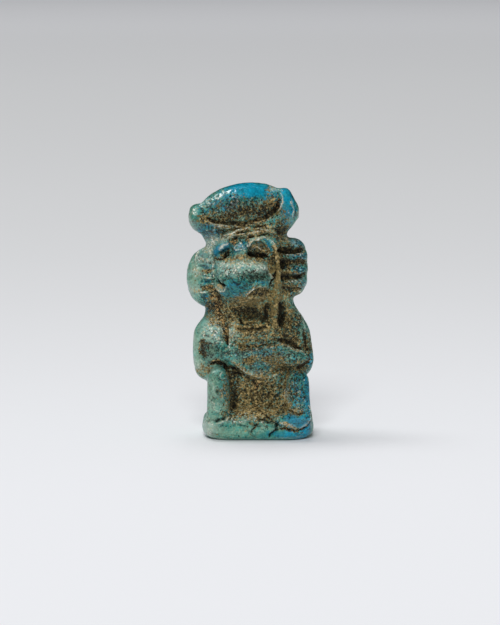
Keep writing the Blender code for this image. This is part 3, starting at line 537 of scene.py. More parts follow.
EARTH_PATCHES = {
    "disc_low": Patch((241, 214), (34, 6), 0.88, lean=7),
    "disc_middle": Patch((238, 206.5), (27, 6), 0.3, lean=7),
    "disc_specks": Patch((232, 199), (16, 6), 0.22, lean=12),
    "disc_right_end": Patch((271, 206), (7, 7), 0.95, lean=35),
    "disc_upper_right": Patch((272.5, 191), (3.5, 6), 0.45, lean=-45),
    "below_crescent": Patch((250, 230), (30, 8), 0.7),
    "below_crescent_right": Patch((282, 229), (7, 8), 0.7),
    "right_horn_foot": Patch((283, 217), (7, 6), 0.45),
    "under_left_horn": Patch((204, 219), (5, 4), 0.6, lean=-35),
    "between_brows": Patch((234, 241.5), (4, 2.5), 0.9),
    "between_brows_right": Patch((246.5, 241), (2, 2.5), 0.8),
    "left_socket": Patch((224, 253), (5, 5), 0.85),
    "below_eyes": Patch((240, 259.5), (26, 3.5), 0.55),
    "right_socket": Patch((259, 252), (10, 6), 0.85),
    "right_cheek": Patch((272.5, 262), (3, 10), 0.75),
    "strand": Patch((277, 270), (4.5, 30), 0.9),
    "mane_right_inner": Patch((285, 268), (5, 26), 0.9),
    "mane_right": Patch((296, 262), (9, 22), 0.2),
    "mane_right_low": Patch((290, 291), (9, 7), 0.75),
    "under_nose": Patch((262, 295), (15, 6), 1.0),
    "chin": Patch((246, 304), (24, 7), 1.0),
    "throat": Patch((250, 315), (29, 8), 1.0),
    "left_neck": Patch((214, 299), (7, 15), 0.7, lean=-15),
    "left_neck_low": Patch((226, 316), (9, 9), 0.85),
    "collar": Patch((253, 327), (22, 5), 0.9),
    "right_neck": Patch((277, 312), (10, 18), 0.95),
    "right_shoulder": Patch((288, 327), (10, 17), 0.7, lean=-20),
    "chest": Patch((262, 337), (27, 8), 0.62),
    "chest_left_patch": Patch((243, 345.5), (6, 4), 0.85),
    "right_armpit": Patch((295, 343), (8, 5), 0.85, lean=-30),
    "right_edge": Patch((308, 345), (3.5, 10), 0.8),
    "shoulder_specks": Patch((214, 321), (7, 5), 0.5, lean=30),
    "left_elbow": Patch((204, 370), (5, 8), 0.6, lean=-25),
    "right_wrist": Patch((301, 367), (9, 5), 0.7, lean=25),
    "right_hem": Patch((280, 366), (9, 11), 0.9, lean=45),
    "lap": Patch((257, 396), (28, 21), 1.0),
    "lap_foot": Patch((257, 412), (25, 7), 0.85),
    "lap_upper_left": Patch((234, 371), (6, 8), 0.95, lean=-35),
    "shin_foot_right": Patch((286, 407), (5, 5), 0.7),
    "above_foot": Patch((295, 411), (9, 3), 0.55),
    "right_leg": Patch((296, 390), (9, 20), 0.14),
    "toes": Patch((289, 429), (9, 3), 0.6),
    "belly": Patch((262, 354), (26, 9), 0.18),
    "oval_left": Patch((249, 360), (6, 3), 0.85, lean=18),
    "oval_right": Patch((266, 359.5), (5, 2.5), 0.75),
    "muzzle_top": Patch((248, 262.5), (22, 3.5), 0.32, lean=-6),
    "left_lock": Patch((194, 275), (5, 9), 0.24),
    "mane_ridge_4": Patch((297, 283), (6, 3), 0.25),
}

RUST_PATCHES = {
    "crust_by_horn": Patch((277.5, 201), (4, 5.5), 0.9, lean=15),
    "disc_upper_right": Patch((273, 193), (2.5, 5), 0.15, lean=-45),
    "between_brows": Patch((234, 241.5), (4, 2.5), 0.7),
    "between_brows_right": Patch((246.5, 241), (2, 2.5), 0.6),
    "left_socket": Patch((223, 252), (3.5, 3.5), 0.3),
    "right_socket": Patch((264, 252), (5, 3), 0.2),
    "lap_middle": Patch((256, 386), (5, 6), 0.4),
    "lap": Patch((257, 396), (26, 20), 0.12),
    "lap_foot": Patch((240, 415), (10, 6), 0.2),
    "left_mane_edge": Patch((198, 269), (4, 5), 0.3),
    "below_crescent": Patch((250, 231), (16, 5), 0.14),
}

BLUE_PATCHES = {
    "disc_top": Patch((252, 190), (26, 8), 1.0, lean=-4),
    "disc_left": Patch((224, 200), (18, 8), 0.64, lean=22),
    "right_horn": Patch((289, 203), (8, 20), 1.0, lean=-10),
    "left_brow": Patch((217, 251.5), (3.5, 3.5), 0.5, lean=30),
    "nose_root": Patch((240, 246), (6, 5), 0.6),
    "right_brow": Patch((268, 245), (3, 7), 0.45, lean=-30),
    "nose": Patch((237, 289), (12, 8), 0.62),
    "muzzle_right": Patch((262, 283), (7, 2), 0.5),
    "mane_right_1": Patch((299, 257), (7, 3.5), 0.9),
    "mane_right_2": Patch((299, 269), (6, 4), 0.95),
    "mane_right_top": Patch((298, 243), (9, 4), 0.55),
    "mane_right_3": Patch((303, 283), (3, 6), 0.6),
    "left_neck": Patch((209, 307), (5, 5), 0.8),
    "right_leg": Patch((300, 390), (8, 22), 0.5),
    "right_leg_edge": Patch((307, 396), (2.5, 20), 1.0),
    "right_foot": Patch((297, 421), (14, 7), 0.85),
    "base_right": Patch((288, 436), (22, 3.5), 0.75),
    "base_corner": Patch((308, 430), (7, 11), 1.0),
    "right_wrist": Patch((312, 361), (3, 8), 0.8),
    "belly": Patch((272, 354), (18, 6), 0.28),
    "belly_low": Patch((258, 368), (10, 5), 0.12),
    "left_shin": Patch((224, 387), (4, 12), 0.15),
    "under_left_horn": Patch((207, 230), (11, 7), 0.68),
    "base_right_end": Patch((307, 430), (4, 5), 0.4),
    "left_horn": Patch((200, 212), (6, 7), 0.35),
    "left_arm_inner": Patch((218, 345), (5, 5), 0.2),
}

GREEN_PATCHES = {
    "left_lock": Patch((193, 281), (8, 20), 0.8),
    "left_horn": Patch((189, 216), (5, 12), 0.42),
    "left_arm": Patch((196, 352), (9, 24), 0.8),
    "left_leg": Patch((211, 397), (8, 26), 0.7),
    "base_left": Patch((208, 430), (16, 11), 0.95),
    "muzzle_hollow": Patch((256, 275), (13, 5), 0.8),
    "base_middle": Patch((232, 433), (16, 8), 0.4),
    "arm_scar": Patch((207, 348), (10, 10), 0.8),
    "chest": Patch((262, 335), (26, 8), 0.5),
}

# Patches where the glaze is darker; in the muzzle's hollow this is painted shade
DEEP_PATCHES = {
    "disc_middle": Patch((236, 204), (22, 6), 0.85, lean=8),
    "disc_right": Patch((262, 195), (9, 7), 0.3),
    "right_horn_edge": Patch((293, 200), (2, 12), 0.45, lean=-15),
    "right_horn_low": Patch((288, 214), (7, 7), 0.35),
    "under_left_horn": Patch((207, 229), (13, 9), 1.0, lean=-20),
    "muzzle_hollow": Patch((257, 276), (14, 5.5), 1.0, lean=4),
    "muzzle_hollow_left": Patch((246, 280), (6, 4), 0.5),
    "nose": Patch((238, 288), (12, 9), 0.76),
    "muzzle": Patch((232, 276), (14, 7), 0.35),
    "mane_right": Patch((297, 262), (9, 26), 0.4),
    "left_neck": Patch((209, 305), (6, 7), 0.5),
    "arm_scar": Patch((206, 349), (8, 9), 0.8),
    "beside_arm_scar": Patch((215, 352), (10, 7), 0.9),
    "belly": Patch((262, 354), (28, 7), 0.6),
    "belly_low": Patch((258, 367), (14, 6), 0.4),
    "chest": Patch((262, 338), (30, 8), 0.5),
    "right_shoulder": Patch((292, 326), (11, 15), 0.65),
    "right_leg": Patch((298, 388), (10, 18), 0.38),
    "base_under_ankle": Patch((229, 424), (9, 3.5), 0.35),
    "base_middle_top": Patch((258, 423), (9, 3), 0.3),
    "left_shin": Patch((224, 388), (5, 14), 0.6),
    "left_leg": Patch((214, 390), (9, 26), 0.34),
    "brows": Patch((238, 247), (16, 5), 0.45),
    "right_foot": Patch((297, 421), (13, 6), 0.35),
    "muzzle_lower": Patch((228, 278), (12, 5), 0.36),
    "wrist": Patch((300, 358), (5, 5), 0.35),
    "left_arm_inner": Patch((218, 344), (5, 5), 0.14),
    "left_horn": Patch((195, 221), (5, 5), 0.2),
    "left_lock_shade": Patch((200, 257), (5, 4), 0.7),
    "left_lock_low": Patch((200, 288), (4, 4), 0.2),
}

# Patches that darken the colour: painted shade under the disc and at its right end, in the eye socket,
# the muzzle's hollow and the throat, and dark dirt on the scar, the crust and the belly's spots
DARK_PATCHES = {
    "disc_low": Patch((246, 213), (30, 5), 0.55, lean=8),
    "disc_middle": Patch((236, 205), (22, 6), 0.48, lean=8),
    "disc_right_end": Patch((266, 209.5), (11, 5), 0.25, lean=28),
    "under_horn": Patch((283, 228), (6, 7), 0.25),
    "right_socket": Patch((258, 254.8), (11, 4), 0.7),
    "mane_right_inner": Patch((284, 266), (4, 16), 0.35),
    "mane_right": Patch((294, 262), (9, 26), 0.32),
    "throat": Patch((249, 315.5), (23, 7), 0.4),
    "right_shoulder": Patch((291, 328), (10, 15), 0.44, lean=-15),
    "right_armpit": Patch((293, 344), (8, 4), 0.3, lean=-30),
    "arm_scar": Patch((204, 349), (6, 10), 0.45),
    "arm_scar_inner": Patch((206, 345), (5, 5), 0.2),
    "chest": Patch((258, 338), (26, 8), 0.16),
    "lap_left": Patch((234, 395), (4, 18), 0.3),
    "lap": Patch((262, 387), (20, 13), 0.2),
    "left_lap_top": Patch((235, 373), (6, 7), 0.35, lean=-40),
    "right_leg": Patch((297, 388), (8, 20), 0.3),
    "toes": Patch((290, 429.5), (9, 2.5), 0.35),
    "muzzle_hollow": Patch((257, 276), (12, 5), 0.56),
    "ridge_right": Patch((280, 224), (6, 9), 0.4),
    "right_edge": Patch((307, 345), (4, 9), 0.5),
    "crust_track": Patch((217, 306), (5, 15), 0.3, lean=-15),
    "belly": Patch((262, 356), (32, 8), 0.17),
    "wrist": Patch((300, 358), (5, 5), 0.12),
    "belly_spot_1": Patch((266, 354), (5, 2.2), 0.45),
    "belly_spot_2": Patch((289, 354.5), (5, 2.2), 0.4),
    "belly_spot_3": Patch((246, 353), (4, 1.8), 0.3),
    "left_lock_shade": Patch((200, 257), (5, 4), 0.16),
}

# Pale patches: worn body and pale wear; disc_glints and disc_glints_low are painted highlights
PALE_PATCHES = {
    "disc_glints": Patch((217, 196.5), (9, 2.5), 0.12, lean=30),
    "disc_glints_low": Patch((206, 204.5), (8, 3.5), 0.32, lean=12),
    "horn_saddle": Patch((275, 190), (5, 3), 0.55),
    "left_tip": Patch((195.5, 210.5), (3.5, 3.5), 0.22),
    "left_temple": Patch((207, 249), (8, 13), 0.62, lean=-15),
    "left_forehead": Patch((219, 240), (9, 4), 0.5, lean=20),
    "muzzle_top": Patch((243, 264.5), (27, 5), 0.25, lean=-6),
    "muzzle_top_right": Patch((262, 266), (8, 4), 0.3, lean=-12),
    "muzzle_upper": Patch((231, 269.5), (17, 5), 0.45),
    "left_lock": Patch((204, 264), (6, 14), 0.28),
    "left_lock_low": Patch((194, 290), (6, 4), 0.35),
    "mouth": Patch((220, 286), (3, 2), 0.3),
    "left_shoulder": Patch((213, 328), (12, 11), 0.62, lean=35),
    "chest_left": Patch((234, 330), (4, 7), 0.55),
    "chest": Patch((256, 336), (16, 5), 0.12),
    "mane_ridge_3": Patch((295, 282), (7, 2.5), 0.15),
    "mane_top": Patch((289, 241), (8, 3), 0.4, lean=-20),
    "right_rim": Patch((301, 291), (4, 4), 0.4, lean=50),
    "left_knee": Patch((214, 369), (7, 4), 0.3),
    "left_elbow": Patch((198, 369), (5, 8), 0.45, lean=-20),
    "left_shin_low": Patch((213, 410), (8, 8), 0.12),
    "base_left": Patch((207, 428), (9, 9), 0.72),
    "right_leg_inner": Patch((287, 398), (3, 12), 0.5),
    "ground_line": Patch((243, 419), (17, 3), 0.3),
    "toe_crust": Patch((286, 424.5), (5, 1.6), 0.4),
    "belly_low": Patch((258, 372), (11, 3), 0.3),
    "belly": Patch((262, 355), (30, 7), 0.1),
    "lap_foot": Patch((255, 410), (18, 5), 0.3),
    "left_mane_edge": Patch((195, 268), (4, 9), 0.35),
    "right_shin_low": Patch((300, 408), (6, 5), 0.1),
    "mane_ridge_1": Patch((297, 246), (6, 3), 0.2),
    "base_middle": Patch((260, 430), (6, 5), 0.12),
}

GLOSS_PATCHES = {
    "disc_top": Patch((240, 192), (36, 11), 1.0, lean=6),
    "right_horn": Patch((289, 203), (8, 18), 1.0, lean=-10),
    "left_horn": Patch((194, 214), (10, 13), 0.8),
    "nose_root": Patch((240, 246), (6, 5), 0.3),
    "right_foot": Patch((296, 420), (14, 8), 0.3),
    "left_shin": Patch((213, 392), (9, 27), 0.45),
    "left_arm": Patch((195, 350), (8, 24), 0.45),
    "base_left": Patch((206, 430), (14, 11), 0.45),
    "left_lock": Patch((193, 283), (8, 20), 0.45),
}

SMOOTH_PATCHES = {
    "disc_top": Patch((252, 189), (24, 8), 0.95, lean=-3),
    "disc_left": Patch((217, 199), (14, 5), 0.6, lean=25),
    "right_horn": Patch((288, 203), (8, 18), 0.9, lean=-10),
    "left_horn": Patch((192, 216), (7, 13), 0.85),
    "under_left_horn": Patch((200, 226), (8, 7), 0.4),
    "left_lock": Patch((192, 283), (7, 17), 0.95),
    "left_lock_top": Patch((200, 262), (8, 14), 0.5, lean=-20),
    "nose": Patch((237, 289), (12, 8), 0.55),
    "left_arm": Patch((195, 352), (8, 26), 0.9),
    "left_arm_top": Patch((203, 325), (4, 10), 0.6, lean=-30),
    "beside_arm_scar": Patch((215, 352), (8, 7), 0.6),
    "left_leg": Patch((214, 393), (9, 26), 0.92),
    "base_left": Patch((210, 430), (16, 10), 0.92),
    "base_middle": Patch((242, 432), (26, 7), 0.8),
    "base_right": Patch((284, 436), (20, 4), 0.8),
    "right_foot": Patch((297, 421), (12, 6), 0.85),
    "chin": Patch((262, 302), (20, 7), 0.8),
    "strand": Patch((277, 286), (5, 18), 0.8),
    "throat": Patch((250, 315), (8, 5), 0.6),
    "right_hem": Patch((272, 370), (8, 5), 0.4, lean=45),
    "left_hem": Patch((233, 363), (6, 3), 0.5, lean=-40),
    "muzzle_top": Patch((243, 263.5), (27, 4), 0.45, lean=-6),
    "muzzle_hollow": Patch((257, 276), (12, 5), 0.45),
    "left_brow": Patch((219.5, 249.5), (7, 5), 0.9),
    "base_corner": Patch((307, 430), (5, 8), 0.6),
}

MARK_PATCHES = {
    "earth": EARTH_PATCHES,
    "rust": RUST_PATCHES,
    "blue": BLUE_PATCHES,
    "green": GREEN_PATCHES,
    "deep": DEEP_PATCHES,
    "dark": DARK_PATCHES,
    "pale": PALE_PATCHES,
    "gloss": GLOSS_PATCHES,
    "smooth": SMOOTH_PATCHES,
}
STROKE_GROUPS = (
    HEADDRESS_STROKES, FACE_STROKES, MANE_STROKES, BODY_STROKES, LEG_STROKES, BASE_STROKES
)
STROKE_MARKS = ("earth", "rust", "pale", "dark", "deep", "blue", "smooth")

# How far from its course a stroke is looked for, how soft its edge is and how thin its ends are,
# as shares of half its width, and into how many pieces each part of its course is cut
STROKE_REACH = 2
STROKE_SOFTNESS = 1.25
STROKE_END = 0.45
CURVE_PIECES = 4
# How far a patch's edge reaches and how wide it fades, as shares of its half size
PATCH_REACH = 1.8
PATCH_FADE = 1.4

# How far back the marked front reaches and how wide its end fades, in millimetres
FRONT_END = 2.6
FRONT_FADE = 0.8
# How much a surface that faces up counts as facing the eye, and how fast patches and strokes
# come in on a surface that turns to the eye
UPWARD_SHARE = 0.45
PATCH_FACING = 2.2
STROKE_FACING = 2.5
STROKE_FACING_START = 0.1
# The relief starts at this height above the ground and is whole this much higher, in millimetres
RELIEF_START = 0.12
RELIEF_FADE = 0.5
# Hollows and bumps: rounds of smoothing that they are measured against, the least depth that
# counts and the depth over which they come in, in millimetres
HOLLOW_ROUNDS = 60
HOLLOW_START = 0.01
HOLLOW_FADE = 0.12
BUMP_FADE = 0.1

# Pairs of random fields that move the marks across and down, with weights in pixels
WOBBLE = (Field(0.7, 0, 1.8), Field(0.7, 1, 1.8))
TREMBLE = (Field(0.22, 2, 1.2), Field(0.22, 3, 1.2))
DRIFT = (Field(1.3, 11, 5.0), Field(1.3, 12, 5.0))
# Random fields that add up to values from 0 to 1, and where the pits in one of them begin
CLOUDS = (Field(2.6, 4, 0.6), Field(0.9, 5, 0.4))
WEAR = (Field(2.2, 13, 0.65), Field(0.8, 14, 0.35))
CRUST = (Field(0.42, 6, 0.5), Field(0.2, 7, 0.5))
PITS = (Field(0.3, 8, 1.0),)
PITS_START = 0.68
PITS_STEEPNESS = 5
# Random fields that swell the surface, with weights in millimetres
FINE_SWELL = Field(0.55, 10, 0.05)
WIDE_SWELL = Field(1.5, 9, 0.05)
# Where wear and clouds of earth begin in their fields, and how fast they come in
WEAR_START = 0.3
WEAR_STEEPNESS = 3.5
EARTH_CLOUD_START = 0.55
EARTH_CLOUD_STEEPNESS = 4
# How far apart two fields of one size lie, and the numbers that make a cell's random value
FIELD_SHIFT = 17.13
SEED_FACTOR = 2654435761
CELL_FACTORS = np.array([73856093, 19349663, 83492791])
HASH_FACTOR = 1274126177
HASH_SHIFTS = (13, 16)
LOW_BITS = 0xFFFF

# How much of each mark the unseen back, the surface's hollows and bumps, and its pits carry
BACK_CLEAN = 0.5
BACK_CLEAN_BY_WEAR = 0.45
BACK_EARTH = 0.9
BACK_PALE = 0.35
BACK_GLOSS = 0.5
HOLLOW_EARTH = 0.25
HOLLOW_EARTH_BACK = 0.5
# The dark that the hollows carry is painted shade
HOLLOW_DARK = 0.25
PIT_DARK = 0.35
# Where the glaze lies from green, 0, to blue, 1, and how far patches and clouds move it
BLUE_MIDDLE = 0.32
BLUE_RISE = 0.68
BLUE_CLOUDS = 0.25
BLUE_CLOUDS_BACK = 0.75
# How much clean glaze sheds of earth, crust and pits, and earth takes of gloss and smoothness
CLEAN_SHEDS_EARTH = 0.7
CLEAN_SHEDS_CRUST = 0.55
CLEAN_SHEDS_PITS = 0.6
EARTH_DULLS = 0.7
EARTH_ROUGHENS = 0.3
# The share of the crust that bare glaze has, and what the earth adds to it
CRUST_BARE = 0.4
CRUST_EARTHY = 0.6

# The fine surface: the distance in metres within which the solid's points are joined, how the
# surface is smoothed, and the share of its faces that is kept
WELD_DISTANCE = 0.0005 * MM
SMOOTH_FACTOR = 0.5
SMOOTH_ROUNDS = 8
FACES_KEPT = 0.67
# Faces are taken away where the surface turns back by this much, or is lower than this height in
# millimetres
THINNED_NORMAL = 0.15
THINNED_HEIGHT = 0.15

# Loose grains of earth lie where there is more earth than this, and come in this fast; they lie
# above this height in millimetres, and come in over this much more
GRAIN_EARTH = 0.35
GRAIN_STEEPNESS = 1.8
GRAIN_GROUND = 0.4
GRAIN_GROUND_FADE = 0.4
# The least and the largest proportions of a grain, and the share of its radius that is sunk
GRAIN_LEAST = (0.35, 0.35, 0.3)
GRAIN_LARGEST = (1.0, 0.9, 0.7)
GRAIN_SUNK = 0.35

# Patterns of the glaze and the earth: size in millimetres, and a shift so that no two agree
Pattern = namedtuple("Pattern", "size shift")
TINT_FLECKS = Pattern(0.15, 3.0)
DEEP_FLECKS = Pattern(0.145, 71.0)
WORN_FLECKS = Pattern(0.125, 29.0)
EARTH_FLECKS = Pattern(0.135, 41.0)
EARTH_LUMPS = Pattern(0.2, 83.0)
RUST_FLECKS = Pattern(0.16, 53.0)
PIT_FLECKS = Pattern(0.135, 17.0)
MOTTLE = Pattern(0.8, 5.0)
STREAKS = Pattern(0.4, 61.0)
# How the shift of a cloudy pattern goes along the three axes
SHIFT_AXES = (1.0, 0.7, 1.3)
# Mineral grain: sizes in millimetres
COARSE_GRAIN = 0.24
FINE_GRAIN = 0.13
LOOSE_GRAIN = 0.09
# The bump in the glaze and in the loose grains: its strength, and its height in metres
GLAZE_BUMP = (0.8, 0.05 * MM)
GRAIN_BUMP = (0.4, 0.02 * MM)
# How much soil, rust stains, dirt in the pits and the film of earth hide of what lies below
SOIL_HIDES = 0.94
STAIN_HIDES = 0.9
PIT_HIDES = 0.88
FILM_HIDES = 0.3

# The colour mixing node's sockets, by number because their names repeat
MIX_SHARE = 0
MIX_BELOW = 6
MIX_ABOVE = 7
MIX_RESULT = 2

# The floor: how far it reaches, where its painted pool of light is brightest, and how it fades away
# from there into painted shade, all in millimetres, with the fading as shares of the way to its end
FLOOR_HALF_SIZE = 5000.0
FLOOR_BRIGHT_PLACE = (0.0, -60.0, 0.0)
FLOOR_FADE = 2000.0
FLOOR_FADE_CURVE = [
    (0.012, 0.0), (0.025, 0.04), (0.041, 0.15), (0.056, 0.29), (0.075, 0.45), (0.098, 0.61),
    (0.13, 0.75), (0.17, 0.83), (0.25, 0.9), (0.41, 0.82), (0.55, 0.66), (0.8, 0.18),
]
FLOOR_FADE_END = 0.0
# The lights: where each stands, its width, both in metres, and whether the glaze mirrors it
Lamp = namedtuple("Lamp", "place size mirrored")
LAMPS = {
    "key": Lamp((-0.72, 0.22, 1.3), 0.5, True),
    "overhead": Lamp((-0.3, 1.0, 3.4), 1.6, False),
    "front": Lamp((-0.25, -2.4, 1.85), 0.9, False),
}


# Settings

# What all colours and all powers of lights have in common
AS_COLOUR = {"size": 3, "min": 0, "max": 1, "subtype": "COLOR"}
AS_POWER = {"min": 0, "unit": "POWER"}


class AmuletSizes(bpy.types.PropertyGroup):
    """Sizes of the amulet's finer relief and of the grains of earth on it."""

    mesh_step: bpy.props.FloatProperty(
        name="Mesh step", description="Spacing of the points of the fine surface, in millimetres",
        default=0.095, min=0.08, max=0.5, precision=3,
    )
    relief: bpy.props.FloatProperty(
        name="Relief", description="Depth of grooves, ridges and cracks as a share of the original's",
        default=1.0, min=0.0, max=2.0, subtype="FACTOR",
    )
    crust: bpy.props.FloatProperty(
        name="Crust", description="Height of the crust in the earthy hollows, in millimetres",
        default=0.075, min=0.0, max=0.3, precision=3,
    )
    pitting: bpy.props.FloatProperty(
        name="Pitting", description="Depth of the small pits in the glaze, in millimetres",
        default=0.05, min=0.0, max=0.3, precision=3,
    )
    grain_radius: bpy.props.FloatProperty(
        name="Grain radius", description="Largest radius of a grain of earth",
        default=0.055 * MM, min=0.01 * MM, max=0.5 * MM, precision=5, unit="LENGTH",
    )
    grains_per_square_mm: bpy.props.FloatProperty(
        name="Grains", description="Grains on each square millimetre where the earth is thickest",
        default=30.0, min=0.0, max=80.0,
    )
    seed: bpy.props.IntProperty(
        name="Seed", description="Which of the random scatters is used", default=7, min=0
    )


class AmuletColours(bpy.types.PropertyGroup):
    """Colours of the amulet's glaze, its worn body, which also paints highlights, and the earth on it.
    """

    glaze_green: bpy.props.FloatVectorProperty(
        name="Green glaze", description="Glaze where it has turned green",
        default=(0.185, 0.335, 0.235), **AS_COLOUR,
    )
    glaze_teal: bpy.props.FloatVectorProperty(
        name="Teal glaze", description="Glaze between green and blue",
        default=(0.045, 0.26, 0.212), **AS_COLOUR,
    )
    glaze_blue: bpy.props.FloatVectorProperty(
        name="Blue glaze", description="Glaze where it is freshest",
        default=(0.003, 0.25, 0.375), **AS_COLOUR,
    )
    # also the colour of painted highlights, where the pale mark is solid
    worn_body_and_highlight: bpy.props.FloatVectorProperty(
        name="Worn body", description="Pale body that shows where the glaze is worn",
        default=(0.76, 0.79, 0.69), **AS_COLOUR,
    )
    # the dark end of the earth's tone, reached in dirt and in the dark mark's painted shade
    earth_dark: bpy.props.FloatVectorProperty(
        name="Dark earth", description="Earth deep in the hollows",
        default=(0.012, 0.009, 0.004), **AS_COLOUR,
    )
    earth_mid: bpy.props.FloatVectorProperty(
        name="Earth", description="Most of the earth on the amulet",
        default=(0.175, 0.126, 0.041), **AS_COLOUR,
    )
    earth_light: bpy.props.FloatVectorProperty(
        name="Light earth", description="Dry grains of the earth",
        default=(0.52, 0.375, 0.162), **AS_COLOUR,
    )
    rust: bpy.props.FloatVectorProperty(
        name="Rust", description="Orange-brown stain along cracks and ridges",
        default=(0.44, 0.26, 0.09), **AS_COLOUR,
    )


class StudioSettings(bpy.types.PropertyGroup):
    """The pale floor, with its painted pool of light, and the soft light."""

    floor_colour: bpy.props.FloatVectorProperty(
        name="Floor", description="Colour of the floor and the backdrop",
        default=(0.8, 0.81, 0.84), **AS_COLOUR,
    )
    # painted shade: the floor's colour far from the amulet, where the light would fall off
    far_floor_shade_colour: bpy.props.FloatVectorProperty(
        name="Far floor", description="Colour of the floor far behind the amulet",
        default=(0.595, 0.603, 0.612), **AS_COLOUR,
    )
    key_power: bpy.props.FloatProperty(
        name="Key light", description="Power of the soft light at the upper left",
        default=4.9, **AS_POWER,
    )
    overhead_power: bpy.props.FloatProperty(
        name="Overhead light", description="Power of the broad light overhead",
        default=41.3, **AS_POWER,
    )
    front_power: bpy.props.FloatProperty(
        name="Front light", description="Power of the broad light before the amulet",
        default=52.6, **AS_POWER,
    )
    sky: bpy.props.FloatProperty(
        name="Surroundings", description="Strength of the pale light from all round",
        default=0.235, min=0,
    )


# The eye

def eye_target():
    """The point in the photograph's middle, in millimetres."""
    ground = BASE_FRONT * math.sin(EYE_ELEVATION)
    rows_up = GROUND_ROW - PHOTO_HEIGHT / 2
    return np.array([0.0, 0.0, (ground + rows_up * MM_PER_PIXEL) / math.cos(EYE_ELEVATION)])


def eye_axes():
    """The eye's right, up and forward directions."""
    up = np.array([0.0, math.sin(EYE_ELEVATION), math.cos(EYE_ELEVATION)])
    forward = np.array([0.0, math.cos(EYE_ELEVATION), -math.sin(EYE_ELEVATION)])
    return np.array([1.0, 0.0, 0.0]), up, forward


def in_photo(points):
    """Where points, in millimetres, stand in the photograph."""
    right, up, forward = eye_axes()
    away = points - eye_target()
    near = EYE_DISTANCE / (EYE_DISTANCE + away @ forward)
    across = PHOTO_WIDTH / 2 + away @ right * near / MM_PER_PIXEL
    down = PHOTO_HEIGHT / 2 - away @ up * near / MM_PER_PIXEL
    return np.stack([across, down], axis=1)


# Shapes of marks

def eased(value):
    """A value from 0 to 1 that leaves both ends softly."""
    value = np.clip(value, 0, 1)
    return value * value * (3 - 2 * value)


def over(below, above):
    """Two covers, from 0 to 1, laid one over the other."""
    return below + (1 - below) * above


def noise(points, size, seed):
    """Smooth random values from 0 to 1 that change over the given distance."""
    scaled = points / size + seed * FIELD_SHIFT
    cell = np.floor(scaled).astype(np.int64)
    blend = eased(scaled - cell)
    total = np.zeros(len(points))
    for corner in np.ndindex(2, 2, 2):
        mixed = (cell + corner) @ CELL_FACTORS + seed * SEED_FACTOR
        mixed = (mixed ^ (mixed >> HASH_SHIFTS[0])) * HASH_FACTOR
        value = ((mixed ^ (mixed >> HASH_SHIFTS[1])) & LOW_BITS) / LOW_BITS
        weight = np.prod(np.where(np.array(corner) == 1, blend, 1 - blend), axis=1)
        total += value * weight
    return total


def weighted(points, field, seed, middle=0.0):
    """A random field's values, counted from their middle where one is given, times its weight."""
    return (noise(points, field.size, seed + field.number) - middle) * field.weight


def summed(points, fields, seed):
    """Random fields added up."""
    return sum(weighted(points, field, seed) for field in fields)


def moved(places, points, fields, seed):
    """Places in the photograph, moved across and down by two random fields."""
    return places + np.stack([weighted(points, field, seed, 0.5) for field in fields], axis=1)


def curve_through(course):
    """Points of a smooth curve through a stroke's points."""
    knots = np.array(course, float)
    if len(knots) < 3:
        return knots
    ends = np.vstack([2 * knots[0] - knots[1], knots, 2 * knots[-1] - knots[-2]])
    curve = [knots[0]]
    for before, a, b, after in zip(ends, ends[1:], ends[2:], ends[3:]):
        for share in np.linspace(0, 1, CURVE_PIECES + 1)[1:]:
            bend = (b - before, 2 * before - 5 * a + 4 * b - after, 3 * a - before - 3 * b + after)
            curve.append(a + 0.5 * share * (bend[0] + share * (bend[1] + share * bend[2])))
    return np.array(curve)


def stroke_cover(places, stroke):
    """1 along a stroke's middle, falling to 0 at its edges and its tapered ends."""
    curve = curve_through(stroke.course)
    cover = np.zeros(len(places))
    reach = STROKE_REACH * stroke.width
    low, high = curve.min(axis=0) - reach, curve.max(axis=0) + reach
    near = np.flatnonzero(((places > low) & (places < high)).all(axis=1))
    count = len(curve) - 1
    for piece, (start, end) in enumerate(zip(curve, curve[1:])):
        step = end - start
        share = np.clip((places[near] - start) @ step / (step @ step), 0, 1)
        distance = np.linalg.norm(places[near] - start - share[:, None] * step, axis=1)
        along = (piece + share) / count
        taper = STROKE_END + (1 - STROKE_END) * np.sqrt(np.clip(4 * along * (1 - along), 0, 1))
        soft = STROKE_SOFTNESS - distance / (stroke.width * taper * STROKE_SOFTNESS)
        cover[near] = np.maximum(cover[near], eased(soft))
    return cover


def patch_cover(places, patch):
    """The patch's amount in its middle, falling softly to 0 outside it."""
    lean = math.radians(patch.lean)
    away = places - np.array(patch.middle)
    across = away[:, 0] * math.cos(lean) - away[:, 1] * math.sin(lean)
    down = away[:, 1] * math.cos(lean) + away[:, 0] * math.sin(lean)
    size = np.hypot(across / patch.half[0], down / patch.half[1])
    return patch.amount * eased((PATCH_REACH - size) / PATCH_FADE)


def patches_cover(places, patches):
    """The cover of soft patches laid one over another."""
    cover = np.zeros(len(places))
    for patch in patches.values():
        cover = cover + (1 - cover) * patch_cover(places, patch)
    return cover


def strokes_cover(places, facing):
    """The height that all strokes give, in millimetres, and how much of each mark they carry."""
    height = np.zeros(len(places))
    lines = {name: np.zeros(len(places)) for name in STROKE_MARKS}
    for stroke in (stroke for group in STROKE_GROUPS for stroke in group.values()):
        cover = stroke_cover(places, stroke) * facing
        height += stroke.height * cover
        for name in STROKE_MARKS:
            lines[name] = over(lines[name], cover * getattr(stroke, name))
    return height, lines


# The amulet's surface

def shown(name, mesh):
    """An object in the scene, made of the mesh."""
    obj = bpy.data.objects.new(name, mesh)
    bpy.context.scene.collection.objects.link(obj)
    return obj


def evaluated_mesh(obj):
    """The object's mesh as its modifiers leave it."""
    bpy.context.view_layer.update()
    depsgraph = bpy.context.evaluated_depsgraph_get()
    return bpy.data.meshes.new_from_object(obj.evaluated_get(depsgraph))


